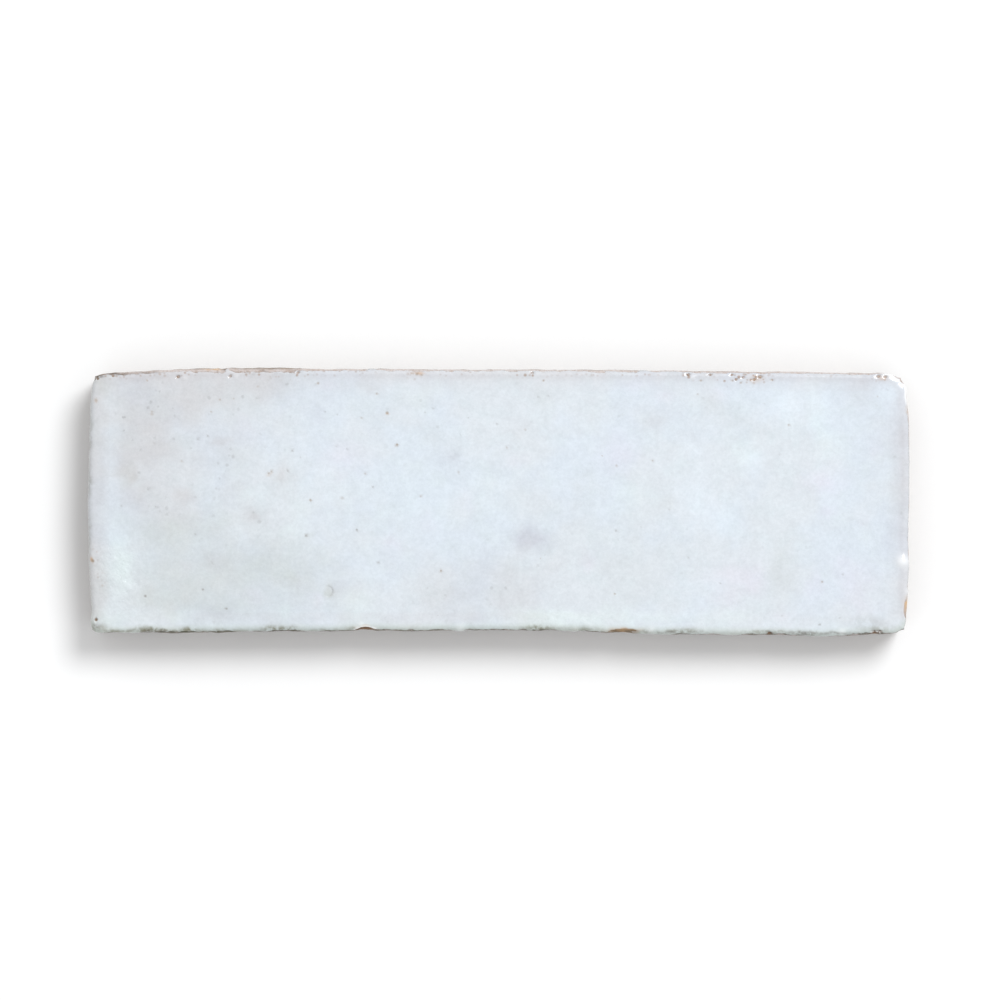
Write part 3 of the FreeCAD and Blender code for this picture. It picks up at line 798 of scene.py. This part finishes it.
def thickWhiteAndHighlight(points, run):
    beadAndHighlight = np.zeros(len(points))
    for place in rimChips.values():
        if place[4] > milkyBeadsAndHighlights["darkChips"]:
            beadAndHighlight = np.maximum(beadAndHighlight, chipMask(points, place, milkyBeadsAndHighlights["chipReach"]))
    for *place, radius, height in rimDrips:
        milky = milkyBeadsAndHighlights["dripGain"] * max(0, height - milkyBeadsAndHighlights["dripFrom"])
        milky = min(milkyBeadsAndHighlights["dripMost"], milky)
        beadAndHighlight = np.maximum(beadAndHighlight, milky * fallOff(points, place, radius))
    start, stop = milkyBeadsAndHighlights["bandRuns"]
    blend = milkyBeadsAndHighlights["bandBlend"]
    band = milkyBeadsAndHighlights["band"] * smoothStep((run - start) / blend) * smoothStep((stop - run) / blend)
    worn = fallOff(points, tileForm["wornCorner"], milkyBeadsAndHighlights["bandReach"], power=4)
    return np.maximum(beadAndHighlight, band * worn) * (points[:, 2] > stainForm["floor"])


# Glaze, fused over the face and rolled over the rim
glazeCoat = {
    "name": "glaze_coat",
    "slot": "glaze",
    "cell": 0.42,
    "rimCell": 0.27,
    "flatRows": 12,
    "rimRows": 10,
    "sideRows": 8,
    "sideEnd": 3.2,        # height of its hidden floor
    "inward": 1.0,         # how far in that floor lies
    "finerRound": (0.30, 0.12),    # reaches round the marks where the cells are halved
    "depth": 0.24,         # how thick it lies on the clay
    "lip": 0.07,           # bead along its edge
    "chipLip": 0.12,       # higher bead round the chips
    "chipLipReach": 0.3,
    "pitLipLoss": 0.9,     # share of the bead missing round the pits
    "swell": 0.10,         # slow unevenness of the face
    "swellLength": 11.0,
    "dimple": 0.016,       # orange peel
    "dimpleLength": 1.8,
    "froth": 0.08,         # wrinkles in the frothy places
    "frothLength": 1.25,
    "frothSlant": 0.45,    # how drawn out they are across the diagonal
    "frothWander": (2.0, 5.0),    # how far its borders stray, and over what distance
    "toneWander": (1.3, 3.5),
    "spotDepth": 0.05,
    "pinholeDepth": 0.035,
    "buried": 0.55,        # how far its free edge dips into the clay
    "pitBuried": 0.30,     # the same in a bare pit
    "blister": (-31.2, -16.3, 1.0),
    "blisterDepth": 0.13,
    "blisterShadeLine": 0.35,   # painted shade line round the right of it
    "lineWidth": 0.15,     # as a share of its radius
    "setsIn": {            # run at which each edge tint, mostly painted shade towards the rim, sets in, and over what distance
        "rim": (-3.5, 4.0),
        "brink": (-1.2, 1.1),
        "leftRim": (-4.2, 5.0),
        "oliveRimAndShade": (-0.9, 1.8),
        "turn": (0.7, 0.9),
    },
}


def glazeRelief(points, froth, spots, pinholes):
    lift = glazeCoat["swell"] * unevenness(points, glazeCoat["swellLength"], "swell")
    lift += glazeCoat["dimple"] * unevenness(points, glazeCoat["dimpleLength"], "dimple")
    slanted = np.column_stack([
        points[:, 0] + points[:, 1],
        glazeCoat["frothSlant"] * (points[:, 1] - points[:, 0]),
        points[:, 2],
    ]) / math.sqrt(2)
    wrinkle = np.abs(unevenness(slanted, glazeCoat["frothLength"], "froth"))
    lift += glazeCoat["froth"] * froth * (0.5 - wrinkle)
    lift -= glazeCoat["spotDepth"] * spots + glazeCoat["pinholeDepth"] * pinholes
    x, y, radius = glazeCoat["blister"]
    ring = distanceTo(points, (x, y)) / radius
    lean = np.clip(0.55 + 0.5 * (points[:, 0] - x) / radius, 0, 1)
    lift -= glazeCoat["blisterDepth"] * lean * smoothStep((1.15 - ring) / 0.3)
    for *place, radius, height in rimDrips:
        lift += height * fallOff(points, place, radius) * (points[:, 2] > faceFloor)
    return lift


def blisterShadeArc(points):
    # painted shade: a thin dark line round the right of the sunken disc, on its wall turned from the
    # light
    x, y, radius = glazeCoat["blister"]
    ring = distanceTo(points, (x, y)) / radius
    line = np.exp(-((ring - 1) / glazeCoat["lineWidth"]) ** 2)
    line = line * smoothStep((points[:, 0] - x) / radius)
    return glazeCoat["blisterShadeLine"] * line * (points[:, 2] > faceFloor)


def markSum(points, places):
    total = np.zeros(len(points))
    for *place, radius, strength in places:
        mask = roundMask(points, place, radius * spotCore, spotEdge)
        total = np.maximum(total, strength * mask)
    return total


def makeGlaze():
    skin = startPiece(glazeCoat)
    skin.closeInside(glazeCoat["inward"])
    piece = meshObject(glazeCoat["name"], skin, glazeCoat["finerRound"])
    mesh = piece.data
    points, normals = meshArrays(mesh)
    run, end = readAttribute(mesh, "run"), readAttribute(mesh, "glazeEnd")
    bare, _, shallow = bareSpots(points)
    cover = coverage(run, end) * (1 - bare)
    strayed = wander(points, *glazeCoat["frothWander"], "frothyPlaces")
    froth = patchSum(strayed, frothyPlaces, limit=2)
    spots = markSum(points, glazeMarks["rustSpots"])
    # the pinholes, with the blister's painted shade line laid in
    pinholes = np.maximum(markSum(points, glazeMarks["pinholes"]), blisterShadeArc(points))
    lift = glazeRelief(points, froth, spots, pinholes)

    # a bead along the free edge, higher round the chips, and the edge itself sunk in the clay
    leftSide, lowerSide = atSide(-points[:, 0], "leftRim"), atSide(-points[:, 1], "lowerRim")
    reach = glazeCoat["chipLipReach"]
    onChip = np.max([chipMask(points, place, reach) for place in rimChips.values()], axis=0)
    lip = glazeCoat["lip"] * (1 - glazeCoat["pitLipLoss"] * smoothStep(bare * 4))
    lip = lip * (0.5 + 0.5 * np.maximum(leftSide, lowerSide)) + glazeCoat["chipLip"] * onChip
    lift += lip * 4 * cover * (1 - cover)
    buried = glazeCoat["buried"] - (glazeCoat["buried"] - glazeCoat["pitBuried"]) * shallow
    lift = lift * smoothStep(cover * 2) - buried * (1 - cover)
    lift[run == insideRun] = 0

    strayed = wander(points, *glazeCoat["toneWander"], "tones")
    for tone, places in glazeTones.items():
        writeAttribute(mesh, tone, patchSum(strayed, places))
    writeStains(mesh, points)
    beadAndHighlight = thickWhiteAndHighlight(points, run)
    for name, values in {
        "cover": cover, "beadAndHighlight": beadAndHighlight, "froth": froth, "spots": spots, "pinholes": pinholes
    }.items():
        writeAttribute(mesh, name, values)
    # the painted shade towards the rim is shared out by side
    litSide = (1 - leftSide) * (1 - lowerSide)
    share = {
        "rim": 1 - lowerSide, "brink": litSide * (1 - beadAndHighlight), "leftRim": leftSide,
        "oliveRimAndShade": lowerSide, "turn": 1,
    }
    for name, (start, blend) in glazeCoat["setsIn"].items():
        writeAttribute(mesh, name, np.clip((run - start) / blend, 0, 1) * share[name])
    finishMesh(piece, points + normals * lift[:, None])
    return piece


# Clay body under the glaze: bare on the sides, the back and the rim's outer edge
clayBody = {
    "name": "clay_body",
    "slot": "clay",
    "cell": 0.62,
    "rimCell": 0.45,
    "flatRows": 10,
    "rimRows": 10,
    "sideRows": 24,
    "sideEnd": tileForm["backRadius"],
    "bendRows": 4,
    "backRows": 8,
    "grain": 0.05,
    "grainLength": 1.3,
    "drag": 0.10,           # marks dragged along the sides
    "dragLength": 1.1,
    "dragStretch": (0.16, 0.16, 1.0),
    "comb": 0.14,           # grooves left on the back by the cutting wire
    "combLength": 2.2,
    "combStretch": (0.05, 1.0, 1.0),
    "combBend": 0.001,
    "pits": 110,            # holes where grog fell out of the sides and back
    "pitRadius": (0.35, 1.1),
    "pitDepth": 0.45,       # as a share of its radius
    "pitSeed": 8,
    "pitsFrom": 1.2,        # they lie at least this far past the glaze
    "underSkin": 0.05,      # how far bare clay stays under the CAD surface
    "chipDepth": 0.20,      # of the clay below a chip
    "smearWidth": 1.2,      # of the milky smear past the glaze
    "oxideAndShadeFade": (1.4, 1.5),    # strength beside the glaze, and the distance it takes to drop by 1
    "rimClayFade": (1.6, 0.7),
}


def clayPits(points, run, end):
    # round dents at random places, away from the glaze
    random = np.random.default_rng(clayBody["pitSeed"])
    uncovered = np.flatnonzero(run - end > clayBody["pitsFrom"])
    depth = np.zeros(len(points))
    for place in random.choice(uncovered, clayBody["pits"]):
        radius = random.uniform(*clayBody["pitRadius"]) * random.uniform(0.5, 1.0)
        away = np.linalg.norm(points - points[place], axis=1) / radius
        depth = np.maximum(depth, clayBody["pitDepth"] * radius * smoothStep(1.3 - away))
    return depth


def makeClay():
    skin = startPiece(clayBody)
    skin.addBackRows(clayBody["bendRows"], clayBody["backRows"])
    piece = meshObject(clayBody["name"], skin, ())
    mesh = piece.data
    points, normals = meshArrays(mesh)
    run, end = readAttribute(mesh, "run"), readAttribute(mesh, "glazeEnd")
    bare, dark, shallow = bareSpots(points)
    cover = coverage(run, end)
    upper = run < backEdgeRun    # the face and the sides
    under = cover * glazeCoat["depth"] + (1 - cover) * clayBody["underSkin"]
    under = under * (1 - 0.6 * shallow) + (bare - 0.9 * shallow) * clayBody["chipDepth"]

    # grain all over, drag marks along the sides, wire grooves bent across the back
    dragged = points * clayBody["dragStretch"]
    combed = points * clayBody["combStretch"]
    combed[:, 1] += clayBody["combBend"] * points[:, 0] ** 2
    drag = unevenness(dragged, clayBody["dragLength"], "drag")
    comb = unevenness(combed, clayBody["combLength"], "comb", 2) - 0.3
    rough = clayBody["grain"] * unevenness(points, clayBody["grainLength"], "grain", 4)
    rough += clayBody["drag"] * drag * upper + clayBody["comb"] * comb * (run > backEdgeRun)
    pits = clayPits(points, run, np.where(upper, end, 0))

    writeStains(mesh, points)
    past = run - end             # how far a point lies past the end of the glaze
    # dark oxide with painted shade, beside the glaze on the lower and left sides
    onSides = atSide(-points[:, 1], "lowerRim") + atSide(-points[:, 0], "leftOxideAndShade")
    strength, fade = clayBody["oxideAndShadeFade"]
    oxideAndShade = np.clip(onSides, 0, 1) * np.clip(strength - past / fade, 0, 1) * upper
    strength, fade = clayBody["rimClayFade"]
    rimClay = np.maximum(np.clip(strength - past / fade, 0, 1) * upper, bare)
    for name, values in {
        "smear": np.clip(1 - past / clayBody["smearWidth"], 0, 1) * upper * (1 - bare),
        "oxideAndShade": oxideAndShade,
        "rimClay": rimClay * (1 - dark),
        "bedrock": dark,
        "pits": np.clip(pits * 4, 0, 1),
    }.items():
        writeAttribute(mesh, name, values)
    finishMesh(piece, points + normals * (rough - pits - under)[:, None])
    return piece


class Finish:
    # a material whose colour is laid on in layers, from the values in a dictionary

    def __init__(self, name, look):
        self.material = bpy.data.materials.new(name)
        self.material.use_nodes = True
        self.tree = self.material.node_tree
        self.shader = self.tree.nodes["Principled BSDF"]
        self.place = self.tree.nodes.new("ShaderNodeTexCoord").outputs["Object"]
        self.look = look
        self.colour = None

    def feed(self, socket, value):
        # a number or colour is set on the socket, and another node's output is linked
        if isinstance(value, bpy.types.NodeSocket):
            self.tree.links.new(value, socket)
        elif socket.type == "RGBA":
            socket.default_value = value + (1.0,)
        else:
            socket.default_value = value

    def node(self, kind, inputs, output, **settings):
        node = self.tree.nodes.new("ShaderNode" + kind)
        for name, value in settings.items():
            setattr(node, name, value)
        for key, value in inputs.items():
            self.feed(node.inputs[key], value)
        return node.outputs[output]

    def mark(self, name):
        return self.node("Attribute", {}, "Fac", attribute_name=name)

    def math(self, operation, first, second):
        return self.node("Math", {0: first, 1: second}, "Value", operation=operation)

    def times(self, first, second):
        return self.math("MULTIPLY", first, second)

    def ramp(self, value, low, high):
        inputs = {"Value": value, "From Min": low, "From Max": high}
        return self.node("MapRange", inputs, "Result", interpolation_type="SMOOTHSTEP")

    def spread(self, value, low, high):
        return self.node("MapRange", {"Value": value, "To Min": low, "To Max": high}, "Result")

    def noise(self, wavelength, detail=3.0, roughness=0.55, distortion=0.0, place=None):
        inputs = {"Vector": place or self.place, "Scale": 1 / (wavelength * mm), "Detail": detail}
        inputs.update({"Roughness": roughness, "Distortion": distortion})
        return self.node("TexNoise", inputs, "Fac")

    def patches(self, name, place=None):
        wavelength, detail, roughness, low, high = self.look["patches"][name]
        return self.ramp(self.noise(wavelength, detail, roughness, place=place), low, high)

    def spots(self, name, place=None):
        # scattered small round spots, on some of the cells
        cell, reach, share = self.look["spots"][name]
        inputs = {"Vector": place or self.place, "Scale": 1 / (cell * mm)}
        distance = self.node("TexVoronoi", inputs, "Distance")
        spot = self.math("SUBTRACT", 1.0, self.ramp(distance, reach * 0.3, reach))
        chosen = self.ramp(distance.node.outputs["Color"], 1 - share - 0.06, 1 - share + 0.06)
        return self.times(spot, chosen)

    def bent(self, wavelength, reach):
        # the place shifted about by noise, for ragged borders
        bend = self.noise(wavelength, 3.0, 0.5).node.outputs["Color"]
        inputs = {0: bend, 1: (reach * mm,) * 3, 2: self.place}
        return self.node("VectorMath", inputs, "Vector", operation="MULTIPLY_ADD")

    def stretched(self, place, factors):
        return self.node("VectorMath", {0: place, 1: factors}, "Vector", operation="MULTIPLY")

    def mix(self, factor, first, second, **settings):
        inputs = {0: factor, 6: first, 7: second}
        return self.node("Mix", inputs, 2, data_type="RGBA", **settings)

    def lay(self, factor, name):
        # one of the finish's colours over what is there, weakened by its share
        if name in self.look["shares"]:
            factor = self.times(factor, self.look["shares"][name])
        self.colour = self.mix(factor, self.colour, self.look[name])

    def tint(self, factor, tint):
        self.colour = self.mix(factor, self.colour, tint, blend_type="MULTIPLY")

    def shade(self, factor, low, high):
        # the colour between two brightnesses
        inputs = {0: self.colour, "Scale": self.spread(factor, low, high)}
        self.colour = self.node("VectorMath", inputs, "Vector", operation="SCALE")

    def bumpHeights(self):
        return [self.noise(*texture) for texture, _, _ in self.look["bumps"]]

    def complete(self, heights):
        # link the colour, a roughness that varies and the bumps
        sockets = self.shader.inputs
        dull = self.noise(self.look["dullLength"])
        self.feed(sockets["Base Color"], self.colour)
        self.feed(sockets["Roughness"], self.spread(dull, *self.look["roughness"]))
        normal = None
        for height, (_, strength, depth) in zip(heights, self.look["bumps"]):
            inputs = {"Height": height, "Strength": strength, "Distance": depth * mm}
            if normal:
                inputs["Normal"] = normal
            normal = self.node("Bump", inputs, "Normal")
        self.feed(sockets["Normal"], normal)
        return self.material


# Milky white glaze, bluish where thick, greenish at the rim, with painted dusky shade in the hollows,
# painted shade towards the rim and painted highlight on the thick white beads
glazeFinish = {
    "blueWhite": (0.616, 0.678, 0.747),
    "warmWhite": (0.630, 0.676, 0.722),
    "greenWhite": (0.612, 0.682, 0.725),
    "tones": {
        "warmGrey": (0.895, 0.845, 0.820),
        "olive": (0.875, 0.868, 0.822),
        "paintedHollowShade": (0.850, 0.822, 0.840),
        "lilac": (1.034, 0.986, 1.010),
        "bright": (1.070, 1.090, 1.110),
        "greenLight": (1.060, 1.105, 1.060),
    },
    "edges": {                           # painted shade towards the rim, on each side
        "rim": (0.955, 0.920, 0.910),
        "brink": (0.960, 0.945, 0.940),
        "leftRim": (0.955, 0.940, 0.925),
        # olive tint and painted shade along the lower rim
        "oliveRimAndShade": (0.860, 0.880, 0.800),
    },
    "turnTint": (0.60, 0.59, 0.55),      # painted shade where it bends over the rim
    "beadAndHighlightWhite": (0.900, 0.910, 0.920),  # thick milky beads, whitened as painted highlight
    # grey of the pinholes and of the blister's painted shade line
    "pinholeGrey": (0.290, 0.280, 0.270),
    "spotBrown": (0.330, 0.260, 0.200),
    "oliveStain": (0.185, 0.180, 0.120),
    "amberStain": (0.520, 0.310, 0.150),
    "rustStain": (0.290, 0.170, 0.100),
    "darkStain": (0.100, 0.075, 0.070),
    "speck": (0.360, 0.370, 0.380),
    "smudge": (0.360, 0.370, 0.380),
    "tanSpeck": (0.380, 0.290, 0.200),
    "thinEdge": (0.420, 0.350, 0.310),
    "shares": {"greenWhite": 0.5, "smudge": 0.06, "tanSpeck": 0.5, "thinEdge": 0.6},
    "turnShare": 0.8,
    "speckShares": (0.12, 0.6),          # anywhere, and more where the glaze is warm grey
    "coverEdge": (0.6, 1.0),             # the glaze is thin between these covers
    "patches": {                         # wavelength, detail, roughness, start and full strength
        "warmWhite": (16.0, 3.0, 0.55, 0.40, 0.60),
        "greenWhite": (5.0, 4.0, 0.6, 0.42, 0.70),
        "coarseGrain": (2.2, 2.0, 0.55, 0.3, 0.7),
        "middleGrain": (0.75, 2.0, 0.55, 0.3, 0.7),
        "fineGrain": (0.35, 2.0, 0.55, 0.3, 0.7),
        "speck": (5.0, 3.0, 0.55, 0.42, 0.60),
        "blotch": (1.3, 3.0, 0.55, 0.28, 0.62),
    },
    "grain": {                           # darkest and brightest
        "coarseGrain": (0.975, 1.02),
        "middleGrain": (0.975, 1.025),
        "fineGrain": (0.98, 1.02),
    },
    "spots": {                           # cell, reach, share of the cells
        "speck": (1.5, 0.30, 0.50),
        "smudge": (2.6, 0.30, 0.40),
        "tanSpeck": (4.5, 0.06, 0.30),
        "smallDots": (0.75, 0.46, 0.62),
        "largeDots": (1.3, 0.34, 0.55),
    },
    "raggedSpecks": (0.5, 0.7),          # wavelength and reach of their bent borders
    "raggedBlotches": (1.2, 1.0),
    "blotchStretch": (1.2, 0.85, 0.85),
    "roughness": (0.16, 0.38),
    "dullLength": 5.0,
    "coat": 0.7,
    "coatRoughness": 0.06,
    "glassIor": 1.5,
    "bumps": (                           # noise, strength and depth
        ((1.4, 2.0, 0.5), 0.6, 0.04),
        ((0.5,), 0.4, 0.02),
        ((0.8, 3.0, 0.6, 0.6), 0.5, 0.05),    # wrinkles, only in the froth
    ),
    "wrinkleGain": 3.0,
}


def makeGlazeFinish():
    look = glazeFinish
    coat = Finish("white milky glaze", look)
    coat.colour = coat.mix(coat.patches("warmWhite"), look["blueWhite"], look["warmWhite"])
    coat.lay(coat.patches("greenWhite"), "greenWhite")
    for tone, tint in look["tones"].items():
        coat.tint(coat.mark(tone), tint)
    for grain, limits in look["grain"].items():
        coat.shade(coat.patches(grain), *limits)
    # painted shade towards the rim on every side
    for edge, tint in look["edges"].items():
        coat.tint(coat.ramp(coat.mark(edge), 0.0, 1.0), tint)

    # specks and smudges
    anywhere, inGrey = look["speckShares"]
    speckZone = coat.math("ADD", coat.times(coat.mark("warmGrey"), inGrey), anywhere)
    ragged = coat.bent(*look["raggedSpecks"])
    specks = coat.times(coat.spots("speck", ragged), coat.patches("speck"))
    coat.lay(coat.times(specks, speckZone), "speck")
    for name in ("smudge", "tanSpeck"):
        coat.lay(coat.spots(name, ragged), name)

    # iron stains, broken up into dots or blotches
    dots = coat.math("MAXIMUM", coat.spots("smallDots"), coat.spots("largeDots"))
    fingers = coat.stretched(coat.bent(*look["raggedBlotches"]), look["blotchStretch"])
    blotch = coat.patches("blotch", fingers)
    for stain, texture in (("oliveStain", blotch), ("rustStain", dots), ("darkStain", blotch)):
        coat.lay(coat.times(coat.mark(stain), texture), stain)
    coat.lay(coat.mark("amberStain"), "amberStain")
    # painted shade where the glaze bends over the rim
    coat.tint(coat.times(coat.mark("turn"), look["turnShare"]), look["turnTint"])
    # milky beads with painted highlight, then pinholes and spots
    for mark, colour in (("beadAndHighlight", "beadAndHighlightWhite"), ("pinholes", "pinholeGrey"), ("spots", "spotBrown")):
        coat.lay(coat.mark(mark), colour)
    thick = coat.ramp(coat.mark("cover"), *look["coverEdge"])
    coat.lay(coat.math("SUBTRACT", 1.0, thick), "thinEdge")

    coat.shader.inputs["IOR"].default_value = look["glassIor"]
    coat.shader.inputs["Coat Weight"].default_value = look["coat"]
    coat.shader.inputs["Coat Roughness"].default_value = look["coatRoughness"]
    heights = coat.bumpHeights()
    wrinkled = coat.times(coat.mark("froth"), look["wrinkleGain"])
    heights[-1] = coat.times(heights[-1], wrinkled)
    return coat.complete(heights)


# Bare earthenware: pinkish buff, flecked brown, with a milky smear of glaze beside the coat
clayFinish = {
    "buff": (0.225, 0.198, 0.178),
    "pink": (0.275, 0.235, 0.212),
    "rimClay": (0.540, 0.465, 0.430),
    "brown": (0.150, 0.085, 0.055),
    "ochre": (0.330, 0.250, 0.180),
    "dust": (0.420, 0.385, 0.350),       # pale streaks
    "footDust": (0.420, 0.385, 0.350),
    "smear": (0.600, 0.570, 0.570),
    # dark olive oxide and painted shade on the lower and left sides
    "oxideAndShade": (0.120, 0.115, 0.085),
    "oliveStain": (0.085, 0.085, 0.050),
    "rustStain": (0.260, 0.140, 0.070),
    "amberStain": (0.640, 0.430, 0.240),
    "darkStain": (0.100, 0.080, 0.065),
    "bedrock": (0.230, 0.130, 0.070),    # deep in the pits and chips
    "shares": {
        "ochre": 0.45, "dust": 0.35, "brown": 0.55, "footDust": 0.5, "rimClay": 0.85, "smear": 0.85,
        "oxideAndShade": 0.8, "rustStain": 0.8, "bedrock": 0.9,
    },
    "patches": {                         # wavelength, detail, roughness, start and full strength
        "pink": (9.0, 4.0, 0.6, 0.35, 0.65),
        "cloudy": (2.4, 3.0, 0.6, 0.30, 0.70),
        "ochre": (5.5, 4.0, 0.65, 0.48, 0.68),
        "dust": (0.9, 3.0, 0.6, 0.48, 0.72),
        "brown": (0.7, 4.0, 0.7, 0.56, 0.66),
        "footDust": (1.8, 3.0, 0.55, 0.35, 0.6),
        "rimClay": (0.5, 3.0, 0.7, 0.22, 0.52),
        "smear": (0.6, 3.0, 0.7, 0.36, 0.58),
        "oxideAndShade": (1.3, 3.0, 0.65, 0.30, 0.60),
        "rustStain": (0.5, 3.0, 0.6, 0.40, 0.55),
    },
    "cloudyShades": (0.86, 1.12),
    "pitShades": (1.0, 0.5),
    "streakStretch": (0.12, 0.12, 1.0),
    "footHeights": (0.1, 1.3),           # the dust thins out between these
    "roughness": (0.75, 0.95),
    "dullLength": 1.5,
    "bumps": (((0.5, 5.0, 0.7), 0.6, 0.12),),    # noise, strength and depth
}


def makeClayFinish():
    look = clayFinish
    bare = Finish("bare buff clay", look)
    bare.colour = bare.mix(bare.patches("pink"), look["buff"], look["pink"])
    bare.shade(bare.patches("cloudy"), *look["cloudyShades"])
    bare.lay(bare.patches("ochre"), "ochre")
    streaked = bare.stretched(bare.place, look["streakStretch"])
    bare.lay(bare.patches("dust", streaked), "dust")
    bare.lay(bare.patches("brown"), "brown")

    # dust along the worn foot, and shade in the pits
    height = bare.node("SeparateXYZ", {0: bare.place}, "Z")
    low, high = look["footHeights"]
    foot = bare.math("SUBTRACT", 1.0, bare.ramp(height, low * mm, high * mm))
    bare.lay(bare.times(foot, bare.patches("footDust")), "footDust")
    bare.shade(bare.mark("pits"), *look["pitShades"])

    # beside the glaze: fired rim, milky smear, oxide with painted shade on the lower and left sides,
    # and the iron stains, some broken up
    for mark in (
        "rimClay", "smear", "oxideAndShade", "oliveStain", "rustStain", "amberStain", "darkStain", "bedrock"
    ):
        factor = bare.mark(mark)
        if mark in look["patches"]:
            factor = bare.times(factor, bare.patches(mark))
        bare.lay(factor, mark)
    return bare.complete(bare.bumpHeights())


glaze = makeGlaze()
glaze.data.materials.append(makeGlazeFinish())
clay = makeClay()
clay.data.materials.append(makeClayFinish())
for piece, part in ((glaze, glazeCoat), (clay, clayBody)):
    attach(piece, "root")
    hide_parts(tileForm["node"])
print("pieces made:", glaze.name, "and", clay.name)

# Studio: white table, one soft light from the upper right, pale surroundings
studio = {
    "floorSize": 6.0,
    "floorColour": (0.880, 0.885, 0.890),
    "floorRoughness": 0.9,
    "floorDrop": 0.00002,      # keeps it just clear of the tile's back
    "skyColour": (1.0, 1.0, 1.0),
    "skyStrength": 0.745,
    "lightToward": (0.405, 0.485, 0.775),
    "lightDistance": 3.0,
    "lightSize": 1.46,
    "lightPower": 57.5,
    "cameraHeight": 1.2,
    "faceLevel": 0.01,
    "clip": (0.01, 20.0),
    "photoScale": 0.1823,      # mm of tile to one pixel
    "photoSide": 1000,
    "tileCentre": (498.5, 501.75),    # in the photo's pixels
    "sensor": 36.0,
}


def makeStudio():
    scene = bpy.context.scene
    floorMesh = bpy.data.meshes.new("white_table")
    half = studio["floorSize"] / 2
    corners = [(-half, -half, 0), (half, -half, 0), (half, half, 0), (-half, half, 0)]
    floorMesh.from_pydata(corners, [], [(0, 1, 2, 3)])
    floor = bpy.data.objects.new("white_table", floorMesh)
    floor.location.z = -studio["floorDrop"]
    scene.collection.objects.link(floor)
    paper = Finish("white table paper", studio)
    paper.shader.inputs["Base Color"].default_value = studio["floorColour"] + (1.0,)
    paper.shader.inputs["Roughness"].default_value = studio["floorRoughness"]
    paper.shader.inputs["Specular IOR Level"].default_value = 0.0
    floorMesh.materials.append(paper.material)

    world = bpy.data.worlds.new("pale studio")
    world.use_nodes = True
    sky = world.node_tree.nodes["Background"]
    sky.inputs["Color"].default_value = studio["skyColour"] + (1.0,)
    sky.inputs["Strength"].default_value = studio["skyStrength"]
    scene.world = world

    lamp = bpy.data.lights.new("soft key", "AREA")
    lamp.shape = "DISK"
    lamp.size = studio["lightSize"]
    lamp.energy = studio["lightPower"]
    key = bpy.data.objects.new("soft key", lamp)
    toward = Vector(studio["lightToward"]).normalized()
    key.location = toward * studio["lightDistance"]
    key.rotation_euler = toward.to_track_quat("Z", "Y").to_euler()
    scene.collection.objects.link(key)

    lens = bpy.data.cameras.new("overhead camera")
    lens.sensor_width = studio["sensor"]
    span = studio["photoScale"] * studio["photoSide"] * mm
    lens.lens = studio["sensor"] * (studio["cameraHeight"] - studio["faceLevel"]) / span
    lens.clip_start, lens.clip_end = studio["clip"]
    camera = bpy.data.objects.new("overhead camera", lens)
    middle = studio["photoSide"] / 2
    offX = (middle - studio["tileCentre"][0]) * studio["photoScale"] * mm
    offY = (studio["tileCentre"][1] - middle) * studio["photoScale"] * mm
    camera.location = (offX, offY, studio["cameraHeight"])
    scene.collection.objects.link(camera)
    scene.camera = camera
    scene.view_settings.view_transform = "Standard"
    scene.view_settings.look = "None"


makeStudio()
print("studio set")
